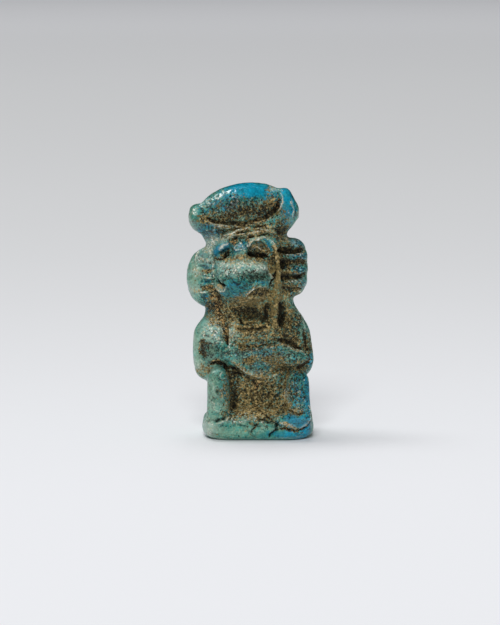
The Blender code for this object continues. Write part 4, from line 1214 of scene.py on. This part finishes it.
def taken_mesh(obj):
    """The mesh that the object's modifiers make, with the object itself taken away."""
    mesh = evaluated_mesh(obj)
    bpy.data.objects.remove(obj)
    return mesh


def mesh_array(collection, name, width, kind=float):
    """A mesh's values as rows of the given width."""
    values = np.zeros(len(collection) * width, kind)
    collection.foreach_get(name, values)
    return values.reshape(-1, width)


def merged_solid():
    """The solid's mesh as one surface, in millimetres."""
    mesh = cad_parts[NODE].data.copy()
    shape = bmesh.new()
    shape.from_mesh(mesh)
    bmesh.ops.remove_doubles(shape, verts=shape.verts, dist=WELD_DISTANCE)
    bmesh.ops.scale(shape, verts=shape.verts, vec=(1 / MM, 1 / MM, 1 / MM))
    shape.to_mesh(mesh)
    shape.free()
    return mesh


def finely_meshed(mesh, step):
    """The surface with evenly spaced points and its facets smoothed away."""
    obj = shown("surface", mesh)
    remesh = obj.modifiers.new("remesh", "REMESH")
    remesh.mode = "VOXEL"
    remesh.voxel_size = step
    smooth = obj.modifiers.new("smooth", "SMOOTH")
    smooth.factor = SMOOTH_FACTOR
    smooth.iterations = SMOOTH_ROUNDS
    return taken_mesh(obj)


def coarser_behind(mesh):
    """The mesh with fewer faces, taken away mostly at the back and close to the ground."""
    obj = shown("thinned", mesh)
    points = mesh_array(mesh.vertices, "co", 3)
    normals = mesh_array(mesh.vertices, "normal", 3)
    hidden = (normals[:, 1] > THINNED_NORMAL) | (points[:, 2] < THINNED_HEIGHT)
    behind = obj.vertex_groups.new(name="behind")
    behind.add(np.flatnonzero(hidden).tolist(), 1.0, "REPLACE")
    thin = obj.modifiers.new("thin", "DECIMATE")
    thin.ratio = FACES_KEPT
    thin.vertex_group = behind.name
    return taken_mesh(obj)


def neighbour_mean(values, edges, count):
    """The mean of each point's neighbours."""
    total = np.zeros(values.shape)
    for a, b in ((0, 1), (1, 0)):
        for axis in range(values.shape[1]):
            total[:, axis] += np.bincount(edges[:, a], values[edges[:, b], axis], count)
    return total / np.bincount(edges.ravel(), minlength=count)[:, None]


def hollowness(points, normals, edges):
    """How far each point lies below the mean of the surface round it, in millimetres."""
    mean = points
    for _ in range(HOLLOW_ROUNDS):
        mean = neighbour_mean(mean, edges, len(points))
    return ((mean - points) * normals).sum(axis=1)


def marked(points, normals, edges, sizes):
    """Each point's height above the smooth surface, in millimetres, and its marks from 0 to 1."""
    seed = sizes.seed
    front = eased((FRONT_END - points[:, 1]) / FRONT_FADE)
    towards = -normals[:, 1] + UPWARD_SHARE * np.maximum(normals[:, 2], 0)
    facing = eased(towards * PATCH_FACING) * front
    square_on = eased((towards - STROKE_FACING_START) * STROKE_FACING) * front
    behind = 1 - facing
    places = moved(moved(in_photo(points), points, WOBBLE, seed), points, TREMBLE, seed)
    drifted = moved(places, points, DRIFT, seed)
    height, lines = strokes_cover(places, square_on)
    patched = {
        name: patches_cover(drifted, patches) * facing for name, patches in MARK_PATCHES.items()
    }
    wide = hollowness(points, normals, edges)
    hollow = eased((wide - HOLLOW_START) / HOLLOW_FADE)
    bump = eased((-wide - HOLLOW_START) / BUMP_FADE)
    clouds = summed(points, CLOUDS, seed)
    earth_clouds = eased((clouds - EARTH_CLOUD_START) * EARTH_CLOUD_STEEPNESS)
    wear = eased((summed(points, WEAR, seed) - WEAR_START) * WEAR_STEEPNESS)
    clean = over(lines["smooth"], patched["smooth"])
    clean = over(clean, behind * (BACK_CLEAN + BACK_CLEAN_BY_WEAR * wear))
    pits = eased((summed(points, PITS, seed) - PITS_START) * PITS_STEEPNESS)

    marks = {}
    bare = 1 - lines["blue"]
    hollow_earth = hollow * (HOLLOW_EARTH + HOLLOW_EARTH_BACK * behind)
    earth = over(patched["earth"] * bare, hollow_earth * (1 - CLEAN_SHEDS_EARTH * clean))
    earth = over(earth, behind * earth_clouds * (1 - clean) * BACK_EARTH)
    marks["earth"] = over(lines["earth"], earth)
    marks["rust"] = over(lines["rust"], patched["rust"])
    # the dark mark: painted shade from strokes, patches and hollows, and dirt in the pits
    dark = over(lines["dark"], over(patched["dark"], hollow * HOLLOW_DARK))
    marks["dark"] = np.maximum(dark, pits * PIT_DARK * (1 - clean))
    marks["pale"] = over(lines["pale"], over(patched["pale"] * bare, bump * BACK_PALE * behind))
    marks["deep"] = over(lines["deep"], patched["deep"])
    blue = BLUE_MIDDLE + BLUE_RISE * over(lines["blue"], patched["blue"])
    blue = blue - BLUE_MIDDLE * patched["green"]
    marks["blue"] = blue + (clouds - 0.5) * (BLUE_CLOUDS + BLUE_CLOUDS_BACK * behind)
    gloss = over(patched["gloss"], behind * clean * BACK_GLOSS)
    marks["gloss"] = gloss * (1 - EARTH_DULLS * marks["earth"])
    marks["smooth"] = clean * (1 - EARTH_ROUGHENS * marks["earth"])

    crust = sizes.crust * (summed(points, CRUST, seed) - 0.5) * 2
    crust = crust * (CRUST_BARE + CRUST_EARTHY * marks["earth"])
    height += crust * (1 - CLEAN_SHEDS_CRUST * clean)
    height += weighted(points, FINE_SWELL, seed, 0.5)
    height -= sizes.pitting * pits * (1 - CLEAN_SHEDS_PITS * clean)
    height += weighted(points, WIDE_SWELL, seed, 0.5)
    return height * sizes.relief, marks


def set_marks(mesh, marks):
    """Stores marks as attributes of the mesh's points."""
    for name, values in marks.items():
        layer = mesh.attributes.new(name, "FLOAT", "POINT")
        layer.data.foreach_set("value", np.clip(values, 0, 1).astype(np.float32))


def carved_surface(sizes):
    """The amulet's fine surface in metres, with its relief as mesh and its marks as attributes."""
    mesh = coarser_behind(finely_meshed(merged_solid(), sizes.mesh_step))
    points = mesh_array(mesh.vertices, "co", 3)
    normals = mesh_array(mesh.vertices, "normal", 3)
    edges = mesh_array(mesh.edges, "vertices", 2, np.int64)
    height, marks = marked(points, normals, edges, sizes)
    above_ground = eased((points[:, 2] - RELIEF_START) / RELIEF_FADE)
    points += normals * (height * above_ground)[:, None]
    points[:, 2] = np.maximum(points[:, 2], 0)
    mesh.vertices.foreach_set("co", (points * MM).ravel())
    set_marks(mesh, marks)
    mesh.update()
    mesh.shade_smooth()
    return mesh


def grain_share(surface):
    """How thickly grains of earth lie at each point of the surface, from 0 to 1."""
    earth = mesh_array(surface.attributes["earth"].data, "value", 1)[:, 0]
    gloss = mesh_array(surface.attributes["gloss"].data, "value", 1)[:, 0]
    points = mesh_array(surface.vertices, "co", 3)
    above_ground = eased((points[:, 2] / MM - GRAIN_GROUND) / GRAIN_GROUND_FADE)
    return eased((earth - GRAIN_EARTH) * GRAIN_STEEPNESS) * (1 - gloss) * above_ground


# Node trees

def node(tree, kind, links=None, **settings):
    """A new node, its settings, and its inputs set to values or joined to other nodes' outputs."""
    new = tree.nodes.new(kind)
    for name, value in settings.items():
        setattr(new, name, value)
    for name, value in (links or {}).items():
        if isinstance(value, bpy.types.NodeSocket):
            tree.links.new(value, new.inputs[name])
        else:
            new.inputs[name].default_value = value
    return new


def new_group(name, kind, inputs, outputs):
    """A node group with its sockets, and the sockets that bring its inputs in."""
    group = bpy.data.node_groups.new(name, kind)
    for direction, sockets in (("INPUT", inputs), ("OUTPUT", outputs)):
        for socket, socket_type in sockets.items():
            group.interface.new_socket(
                socket, in_out=direction, socket_type="NodeSocket" + socket_type
            )
    return group, node(group, "NodeGroupInput").outputs


def placed_group(tree, group, links):
    """The outputs of a node group placed in a tree."""
    return node(tree, "ShaderNodeGroup", links, node_tree=group).outputs


def number(tree, operation, a, b=0.0, c=0.0):
    """The result of arithmetic on two or three numbers."""
    return node(tree, "ShaderNodeMath", {0: a, 1: b, 2: c}, operation=operation).outputs[0]


def vector(tree, operation, links):
    """The result of arithmetic on vectors."""
    return node(tree, "ShaderNodeVectorMath", links, operation=operation).outputs[0]


def spread(tree, value, low, high, to_low=0.0, to_high=1.0):
    """A value eased from one range to another."""
    links = {"Value": value, "From Min": low, "From Max": high, "To Min": to_low, "To Max": to_high}
    return node(tree, "ShaderNodeMapRange", links, interpolation_type="SMOOTHSTEP").outputs["Result"]


def sum_of(tree, constant, *terms):
    """A constant plus numbers, each with its own weight."""
    total = constant
    for value, weight in terms:
        total = number(tree, "MULTIPLY_ADD", value, weight, total)
    return total


def blended(tree, share, below, above, mode="MIX"):
    """One colour laid over another."""
    links = {MIX_SHARE: share, MIX_BELOW: below, MIX_ABOVE: above}
    mix = node(tree, "ShaderNodeMix", links, data_type="RGBA", blend_type=mode)
    return mix.outputs[MIX_RESULT]


def shaded(tree, colour, share):
    """A colour multiplied by a number."""
    grey = node(tree, "ShaderNodeCombineColor", {0: share, 1: share, 2: share}).outputs[0]
    return blended(tree, 1.0, colour, grey, "MULTIPLY")


def opaque(colour):
    return (*colour, 1.0)


def mark(tree, name):
    """A mark that the surface carries."""
    return node(tree, "ShaderNodeAttribute", attribute_name=name).outputs["Fac"]


def place_in_mm(tree):
    """The place on the amulet, in millimetres."""
    place = node(tree, "ShaderNodeTexCoord").outputs["Object"]
    return vector(tree, "MULTIPLY", {0: place, 1: (1 / MM, 1 / MM, 1 / MM)})


def clouded(tree, place, pattern, detail):
    """Soft clouds at a pattern's size."""
    shift = tuple(pattern.shift * axis for axis in SHIFT_AXES)
    moved_place = vector(tree, "ADD", {0: place, 1: shift})
    links = {"Vector": moved_place, "Scale": 1 / pattern.size, "Detail": detail, "Roughness": 0.6}
    return node(tree, "ShaderNodeTexNoise", links).outputs["Fac"]


def new_material(name, **plain):
    """A material and its shader, with plain values on the shader's own sockets."""
    material = bpy.data.materials.new(name)
    material.use_nodes = True
    shader = material.node_tree.nodes["Principled BSDF"]
    for socket, value in plain.items():
        shader.inputs[socket.replace("_", " ")].default_value = value
    return material, material.node_tree, shader


def set_bump(tree, shader, bump, relief):
    """Bump in the shader from a relief, with its strength and its height in metres."""
    links = {"Strength": bump[0], "Distance": bump[1], "Height": relief}
    normal = node(tree, "ShaderNodeBump", links).outputs["Normal"]
    tree.links.new(normal, shader.inputs["Normal"])


def grain_group():
    """Node group: mineral grain as a tone and a height, at a size given in millimetres."""
    group, start = new_group(
        "mineral_grain", "ShaderNodeTree",
        {"Place": "Vector", "Size": "Float"}, {"Tone": "Float", "Height": "Float"},
    )
    scale = number(group, "DIVIDE", 1.0, start["Size"])
    links = {"Vector": start["Place"], "Scale": scale}
    cloud = node(group, "ShaderNodeTexNoise", {**links, "Detail": 3.0, "Roughness": 0.65})
    cloud = cloud.outputs["Fac"]
    crystals = node(group, "ShaderNodeTexVoronoi", links).outputs
    facets = node(group, "ShaderNodeSeparateColor", {"Color": crystals["Color"]}).outputs["Red"]
    tone = number(group, "MULTIPLY_ADD", facets, 0.5, number(group, "MULTIPLY", cloud, 0.5))
    sunk = number(group, "MULTIPLY", crystals["Distance"], 0.5)
    node(group, "NodeGroupOutput", {"Tone": tone, "Height": number(group, "SUBTRACT", cloud, sunk)})
    return group


def flecks_group():
    """Node group: small flecks that cover a given share, and a random tone for each."""
    group, start = new_group(
        "flecks", "ShaderNodeTree",
        {"Place": "Vector", "Size": "Float", "Share": "Float", "Shift": "Float"},
        {"Mask": "Float", "Tone": "Float"},
    )
    scale = number(group, "DIVIDE", 1.0, start["Size"])
    shifted = vector(group, "ADD", {0: start["Place"], 1: start["Shift"]})
    bend = node(group, "ShaderNodeTexNoise", {"Vector": shifted, "Scale": scale, "Detail": 1.0})
    bend = vector(group, "SCALE", {0: bend.outputs["Color"], "Scale": 0.2})
    bent = vector(group, "ADD", {0: bend, 1: shifted})
    cells = node(group, "ShaderNodeTexVoronoi", {"Vector": bent, "Scale": scale})
    random = node(group, "ShaderNodeSeparateColor", {"Color": cells.outputs["Color"]}).outputs
    wide_scale = number(group, "MULTIPLY", scale, 0.33)
    links = {"Vector": shifted, "Scale": wide_scale, "Detail": 2.0, "Roughness": 0.7}
    clump = spread(group, node(group, "ShaderNodeTexNoise", links).outputs["Fac"], 0.3, 0.7, 0.0, 0.16)
    chance = number(group, "MULTIPLY_ADD", random["Red"], 0.84, clump)
    low = number(group, "SUBTRACT", start["Share"], 0.08)
    high = number(group, "ADD", start["Share"], 0.08)
    mask = spread(group, chance, low, high, 1.0, 0.0)
    node(group, "NodeGroupOutput", {"Mask": mask, "Tone": random["Green"]})
    return group


def earth_group(colours):
    """Node group: the colour of earth for a tone from 0, damp and dark, to 1, dry and light; the dark
    mark's painted shade lowers the tone that it is given.
    """
    group, start = new_group(
        "earth_colour", "ShaderNodeTree", {"Tone": "Float", "Rust": "Float"}, {"Colour": "Color"}
    )
    lower = spread(group, start["Tone"], 0.05, 0.5)
    upper = spread(group, start["Tone"], 0.5, 0.95)
    colour = blended(group, lower, opaque(colours.earth_dark), opaque(colours.earth_mid))
    colour = blended(group, upper, colour, opaque(colours.earth_light))
    colour = blended(group, start["Rust"], colour, opaque(colours.rust))
    node(group, "NodeGroupOutput", {"Colour": colour})
    return group


def shared_groups(colours):
    """The node groups that more than one material uses, built once."""
    made = bpy.data.node_groups
    return {
        "grain": made.get("mineral_grain") or grain_group(),
        "flecks": made.get("flecks") or flecks_group(),
        "earth": made.get("earth_colour") or earth_group(colours),
    }


class Skin:
    """What the amulet's look is made from: its marks, its mineral grain and its flecks."""

    def __init__(self, tree, colours):
        self.tree = tree
        self.groups = shared_groups(colours)
        self.place = place_in_mm(tree)
        coarse = self.grain(COARSE_GRAIN)
        self.grain_height = coarse["Height"]
        self.values = {name: mark(tree, name) for name in (*STROKE_MARKS, "gloss")}
        self.values["coarse"] = coarse["Tone"]
        self.values["fine"] = self.grain(FINE_GRAIN)["Tone"]
        self.values["mottle"] = clouded(tree, self.place, MOTTLE, 3.0)
        self.values["streak"] = clouded(tree, self.place, STREAKS, 2.0)
        self.values["matt"] = number(tree, "SUBTRACT", 1.0, self.values["smooth"])
        # solid: where the pale mark is near full, in white marks of wear and in strokes that paint
        # highlights
        self.values["solid"] = number(tree, "POWER", self.values["pale"], 5.0)

    def grain(self, size):
        return placed_group(self.tree, self.groups["grain"], {"Place": self.place, "Size": size})

    def flecks(self, pattern, share):
        """Flecks that cover a share of the surface: a mask, and a tone for each."""
        links = {"Place": self.place, "Size": pattern.size, "Share": share, "Shift": pattern.shift}
        return placed_group(self.tree, self.groups["flecks"], links)

    def sum(self, constant, **weights):
        """A constant plus values by their names, each with its own weight."""
        terms = ((self.values[name], weight) for name, weight in weights.items())
        return sum_of(self.tree, constant, *terms)

    def times(self, value, factor):
        return number(self.tree, "MULTIPLY", value, factor)


def glaze_colour(skin, colours):
    """The glaze's own colour, from green through teal to blue, thin enough in places to be pale."""
    tree = skin.tree
    tint = number(tree, "SUBTRACT", skin.flecks(TINT_FLECKS, 0.5)["Tone"], 0.5)
    uneven = skin.times(tint, skin.sum(0.15, matt=0.75))
    hue = sum_of(tree, skin.sum(-0.42, blue=0.95, mottle=0.5, streak=0.4), (uneven, 1.0))
    greenness = spread(tree, hue, 0.0, 0.45)
    glaze = blended(tree, greenness, opaque(colours.glaze_green), opaque(colours.glaze_teal))
    glaze = blended(tree, spread(tree, hue, 0.5, 1.0), glaze, opaque(colours.glaze_blue))
    # the deep mark darkens the glaze: deeper glaze, and painted shade in grooves and hollows and in
    # strokes named shade
    glaze = shaded(tree, glaze, skin.sum(-0.06, coarse=0.75, fine=0.6, mottle=0.8, deep=-0.5))
    # grains of stronger glaze, denser where the deep mark is, which also paints shade
    strong = skin.flecks(DEEP_FLECKS, skin.sum(0.03, matt=0.3, deep=0.22))
    depth = sum_of(tree, -0.9, (strong["Tone"], 0.35))
    glaze = shaded(tree, glaze, number(tree, "MULTIPLY_ADD", strong["Mask"], depth, 1.0))
    # the body shows through thin glaze; where the pale mark paints highlights, this is painted
    # highlight
    haze = skin.times(skin.values["pale"], skin.sum(0.06, coarse=0.54))
    return blended(tree, haze, glaze, opaque(colours.worn_body_and_highlight))


def worn_flecks(skin, colours):
    """Flecks where the glaze is worn off the body, and solid pale where strokes paint highlights: their
    cover, and their colour to tan.
    """
    tree = skin.tree
    share = skin.sum(-0.03, matt=0.135, pale=0.2, deep=-0.05, solid=0.67)
    worn = skin.flecks(WORN_FLECKS, share)
    tan = spread(tree, worn["Tone"], 0.35, 0.95)
    colour = blended(tree, tan, opaque(colours.worn_body_and_highlight), opaque(colours.earth_light))
    return skin.times(worn["Mask"], skin.sum(0.5, matt=0.25, pale=0.25)), colour


def with_earth(skin, colour):
    """The colour under a thin film of earth and a cover broken up into grains, and the cover."""
    tree = skin.tree
    soil = skin.flecks(EARTH_FLECKS, skin.sum(-0.03, earth=0.9, solid=-1.0))
    stain = skin.flecks(RUST_FLECKS, skin.sum(-0.05, rust=0.48))
    lumps = number(tree, "SUBTRACT", skin.flecks(EARTH_LUMPS, 0.5)["Tone"], 0.5)
    lumps = skin.times(lumps, skin.sum(0.15, rust=1.7))
    coarse, fine, dark, pale = (skin.values[name] for name in ("coarse", "fine", "dark", "pale"))
    grain = sum_of(tree, -0.9, (soil["Tone"], 0.6), (coarse, 0.55), (fine, 0.65))
    grain = skin.times(grain, skin.sum(0.4, matt=0.7))
    # the dark mark lowers the earth's tone as painted shade and dirt; the pale mark raises it as wear
    # and painted highlight
    tone = sum_of(tree, 0.5, (grain, 1.0), (lumps, 1.0), (dark, -0.45), (pale, 0.35))
    links = {"Tone": tone, "Rust": stain["Mask"]}
    earth = placed_group(tree, skin.groups["earth"], links)["Colour"]
    colour = blended(tree, skin.times(skin.values["earth"], FILM_HIDES), colour, earth)
    soil_cover = skin.times(soil["Mask"], SOIL_HIDES)
    cover = number(tree, "MAXIMUM", soil_cover, skin.times(stain["Mask"], STAIN_HIDES))
    return blended(tree, cover, colour, earth), cover


def faience_material(colours):
    """Glaze from green to blue, worn pale in places, with earth in the hollows, painted highlights
    where the pale mark is solid, and painted shade where the dark and deep marks are.
    """
    material, tree, shader = new_material(
        "faience_glaze", Specular_IOR_Level=0.35, Coat_Roughness=0.13, Coat_IOR=1.9, IOR=1.5
    )
    skin = Skin(tree, colours)
    worn_share, worn_colour = worn_flecks(skin, colours)
    colour = blended(tree, worn_share, glaze_colour(skin, colours), worn_colour)
    colour, soil_cover = with_earth(skin, colour)
    # dark flecks: pits filled with dirt, and more of them as painted shade where the dark mark is
    pit_share = skin.sum(-0.05, matt=0.17, dark=0.45, rust=0.26, solid=-0.5)
    pits = skin.flecks(PIT_FLECKS, pit_share)["Mask"]
    colour = blended(tree, skin.times(pits, PIT_HIDES), colour, opaque(colours.earth_dark))
    # painted shade: the dark mark darkens grooves, holes, sockets and hollows, besides the dirt in them
    colour = shaded(tree, colour, spread(tree, skin.values["dark"], 0.4, 1.0, 1.0, 0.3))
    tree.links.new(colour, shader.inputs["Base Color"])
    # gloss where the glaze is whole
    covered = number(tree, "MAXIMUM", soil_cover, worn_share)
    clear = skin.times(skin.values["gloss"], number(tree, "SUBTRACT", 1.0, covered))
    tree.links.new(sum_of(tree, 0.5, (covered, 0.35), (clear, -0.28)), shader.inputs["Roughness"])
    tree.links.new(clear, shader.inputs["Coat Weight"])
    height = sum_of(
        tree, 0.0, (skin.grain_height, 0.6), (pits, -0.5), (soil_cover, 0.35), (worn_share, 0.2)
    )
    set_bump(tree, shader, GLAZE_BUMP, height)
    return material


def grain_material(colours):
    """Loose grains of earth, each with its own tone."""
    material, tree, shader = new_material("earth_grains", Specular_IOR_Level=0.3, IOR=1.45)
    groups = shared_groups(colours)
    grain = placed_group(tree, groups["grain"], {"Place": place_in_mm(tree), "Size": LOOSE_GRAIN})
    own_tone = mark(tree, "grain_tone")
    # the dark mark darkens the grains as painted shade
    tone = sum_of(tree, -0.25, (own_tone, 0.95), (grain["Tone"], 0.4), (mark(tree, "dark"), -0.5))
    rust = number(tree, "MULTIPLY", mark(tree, "rust"), own_tone)
    colour = placed_group(tree, groups["earth"], {"Tone": tone, "Rust": rust})["Colour"]
    tree.links.new(colour, shader.inputs["Base Color"])
    tree.links.new(spread(tree, tone, 0.2, 0.8, 0.9, 0.6), shader.inputs["Roughness"])
    set_bump(tree, shader, GRAIN_BUMP, grain["Height"])
    return material


def grain_tree():
    """Geometry Nodes: grains scattered over a surface where its grain_share is high."""
    tree, start = new_group(
        "scattered_grains", "GeometryNodeTree",
        {
            "Surface": "Geometry",
            "Grains per square metre": "Float",
            "Radius": "Float",
            "Seed": "Int",
            "Material": "Material",
        },
        {"Grains": "Geometry"},
    )
    seed = {"Seed": start["Seed"]}
    share = node(
        tree, "GeometryNodeInputNamedAttribute", {"Name": "grain_share"}, data_type="FLOAT"
    ).outputs["Attribute"]
    density = number(tree, "MULTIPLY", share, start["Grains per square metre"])
    scatter = node(
        tree, "GeometryNodeDistributePointsOnFaces",
        {"Mesh": start["Surface"], "Density": density, **seed},
    ).outputs
    depth = number(tree, "MULTIPLY", start["Radius"], -GRAIN_SUNK)
    sunk = vector(tree, "SCALE", {0: scatter["Normal"], "Scale": depth})
    points = node(
        tree, "GeometryNodeSetPosition", {"Geometry": scatter["Points"], "Offset": sunk}
    ).outputs[0]
    grain = node(
        tree, "GeometryNodeMeshIcoSphere", {"Radius": start["Radius"], "Subdivisions": 1}
    ).outputs["Mesh"]
    turn, size = (
        node(tree, "FunctionNodeRandomValue", {0: low, 1: high, **seed}, data_type="FLOAT_VECTOR")
        for low, high in (((0.0, 0.0, 0.0), (math.tau,) * 3), (GRAIN_LEAST, GRAIN_LARGEST))
    )
    placed = node(
        tree, "GeometryNodeInstanceOnPoints",
        {"Points": points, "Instance": grain, "Rotation": turn.outputs[0], "Scale": size.outputs[0]},
    ).outputs[0]
    tone = node(tree, "FunctionNodeRandomValue", {2: 0.0, 3: 1.0, **seed}, data_type="FLOAT")
    toned = node(
        tree, "GeometryNodeStoreNamedAttribute",
        {"Geometry": placed, "Name": "grain_tone", "Value": tone.outputs[1]},
        data_type="FLOAT", domain="INSTANCE",
    ).outputs[0]
    real = node(tree, "GeometryNodeRealizeInstances", {"Geometry": toned}).outputs[0]
    covered = node(
        tree, "GeometryNodeSetMaterial", {"Geometry": real, "Material": start["Material"]}
    ).outputs[0]
    node(tree, "NodeGroupOutput", {"Grains": covered})
    return tree


def set_inputs(modifier, tree, values):
    """Sets a modifier's inputs, found by name in its tree."""
    for item in tree.interface.items_tree:
        if item.in_out == "INPUT" and item.name in values:
            modifier[item.identifier] = values[item.name]


# The floor, the light and the camera

def floor_mesh():
    """A wide level floor."""
    half = FLOOR_HALF_SIZE * MM
    corners = [(-half, -half, 0), (half, -half, 0), (half, half, 0), (-half, half, 0)]
    mesh = bpy.data.meshes.new("floor")
    mesh.from_pydata(corners, [], [(0, 1, 2, 3)])
    return mesh


def floor_material(settings):
    """A pale floor with a painted pool of light: it darkens softly with its distance from a place
    before the amulet.
    """
    material, tree, shader = new_material("pale_floor", Roughness=0.9, Specular_IOR_Level=0.1)
    links = {0: place_in_mm(tree), 1: FLOOR_BRIGHT_PLACE}
    away = node(tree, "ShaderNodeVectorMath", links, operation="DISTANCE").outputs["Value"]
    fading = node(tree, "ShaderNodeFloatCurve", {"Value": number(tree, "DIVIDE", away, FLOOR_FADE)})
    curve = fading.mapping.curves[0]
    for x, y in FLOOR_FADE_CURVE:
        curve.points.new(x, y)
    curve.points[-1].location = (1.0, FLOOR_FADE_END)
    fading.mapping.update()
    # painted pool of light: near the amulet the floor takes the bright colour, far away the darker one
    near, far = opaque(settings.floor_colour), opaque(settings.far_floor_shade_colour)
    tree.links.new(blended(tree, fading.outputs[0], near, far), shader.inputs["Base Color"])
    return material


def area_light(name, lamp, power, target):
    """A square light that faces the target."""
    data = bpy.data.lights.new(name, "AREA")
    data.size = lamp.size
    data.energy = power
    obj = bpy.data.objects.new(name, data)
    obj.location = lamp.place
    obj.rotation_mode = "QUATERNION"
    obj.rotation_quaternion = (target - obj.location).to_track_quat("-Z", "Y")
    obj.visible_glossy = lamp.mirrored
    bpy.context.scene.collection.objects.link(obj)


def set_surroundings(scene, strength):
    """Pale light from all round, which the glaze doesn't mirror."""
    world = bpy.data.worlds.new("pale_surroundings")
    world.use_nodes = True
    surroundings = world.node_tree.nodes["Background"]
    surroundings.inputs["Color"].default_value = (1.0, 1.0, 1.0, 1.0)
    surroundings.inputs["Strength"].default_value = strength
    scene.world = world
    world.cycles_visibility.glossy = False


def set_camera(scene):
    """The camera stands where the eye of the photograph was."""
    forward = eye_axes()[2]
    data = bpy.data.cameras.new("camera")
    data.sensor_fit = "HORIZONTAL"
    data.sensor_width = SENSOR_WIDTH
    data.lens = SENSOR_WIDTH * EYE_DISTANCE / (PHOTO_WIDTH * MM_PER_PIXEL)
    data.clip_start = CLIP_START
    data.clip_end = CLIP_END
    camera = bpy.data.objects.new("camera", data)
    camera.location = Vector((eye_target() - forward * EYE_DISTANCE) * MM)
    camera.rotation_mode = "QUATERNION"
    camera.rotation_quaternion = Vector(forward).to_track_quat("-Z", "Y")
    scene.collection.objects.link(camera)
    scene.camera = camera


# The pieces and the stage, each with its operator

class AMULET_OT_faience_body(bpy.types.Operator):
    """Build the amulet's surface with its relief, marks and glaze"""

    bl_idname = "amulet.faience_body"
    bl_label = "Faience body"

    def execute(self, context):
        scene = context.scene
        mesh = carved_surface(scene.amulet_sizes)
        mesh.materials.clear()
        mesh.materials.append(faience_material(scene.amulet_colours))
        body = shown("faience_body", mesh)
        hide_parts(NODE)
        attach(body, "root")
        return {"FINISHED"}


class AMULET_OT_earth_grains(bpy.types.Operator):
    """Scatter grains of earth in the hollows of the amulet's surface"""

    bl_idname = "amulet.earth_grains"
    bl_label = "Earth grains"

    def execute(self, context):
        scene = context.scene
        sizes = scene.amulet_sizes
        surface = bpy.data.objects["faience_body"].data.copy()
        set_marks(surface, {"grain_share": grain_share(surface)})
        grains = shown("earth_grains", surface)
        tree = grain_tree()
        modifier = grains.modifiers.new("grains", "NODES")
        modifier.node_group = tree
        set_inputs(modifier, tree, {
            "Grains per square metre": sizes.grains_per_square_mm / MM**2,
            "Radius": sizes.grain_radius,
            "Seed": sizes.seed,
            "Material": grain_material(scene.amulet_colours),
        })
        real = evaluated_mesh(grains)
        grains.modifiers.clear()
        grains.data = real
        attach(grains, "root")
        return {"FINISHED"}


class AMULET_OT_studio(bpy.types.Operator):
    """Set up the pale floor, the soft light and the camera"""

    bl_idname = "amulet.studio"
    bl_label = "Studio"

    def execute(self, context):
        settings = context.scene.studio_settings
        floor = shown("floor", floor_mesh())
        floor.data.materials.append(floor_material(settings))
        target = Vector(eye_target() * MM)
        for name, lamp in LAMPS.items():
            area_light(name, lamp, getattr(settings, name + "_power"), target)
        set_surroundings(context.scene, settings.sky)
        set_camera(context.scene)
        context.scene.view_settings.view_transform = "Standard"
        return {"FINISHED"}


# The panel and the add-on's registration

SETTINGS = {
    "amulet_sizes": AmuletSizes,
    "amulet_colours": AmuletColours,
    "studio_settings": StudioSettings,
}
OPERATORS = (AMULET_OT_faience_body, AMULET_OT_earth_grains, AMULET_OT_studio)


class AMULET_PT_panel(bpy.types.Panel):
    """Sizes, colours and pieces of the amulet"""

    bl_label = "Amulet"
    bl_idname = "AMULET_PT_panel"
    bl_space_type = "VIEW_3D"
    bl_region_type = "UI"
    bl_category = "Amulet"

    def draw(self, context):
        for settings in SETTINGS:
            group = getattr(context.scene, settings)
            box = self.layout.box()
            for name in group.__annotations__:
                box.prop(group, name)
        for operator in OPERATORS:
            self.layout.operator(operator.bl_idname)


CLASSES = (*SETTINGS.values(), *OPERATORS, AMULET_PT_panel)


def register():
    for item in CLASSES:
        bpy.utils.register_class(item)
    for name, group in SETTINGS.items():
        setattr(bpy.types.Scene, name, bpy.props.PointerProperty(type=group))


def unregister():
    for name in SETTINGS:
        delattr(bpy.types.Scene, name)
    for item in reversed(CLASSES):
        bpy.utils.unregister_class(item)


def main():
    register()
    bpy.ops.amulet.faience_body()
    bpy.ops.amulet.earth_grains()
    bpy.ops.amulet.studio()


if __name__ == "__main__":
    main()
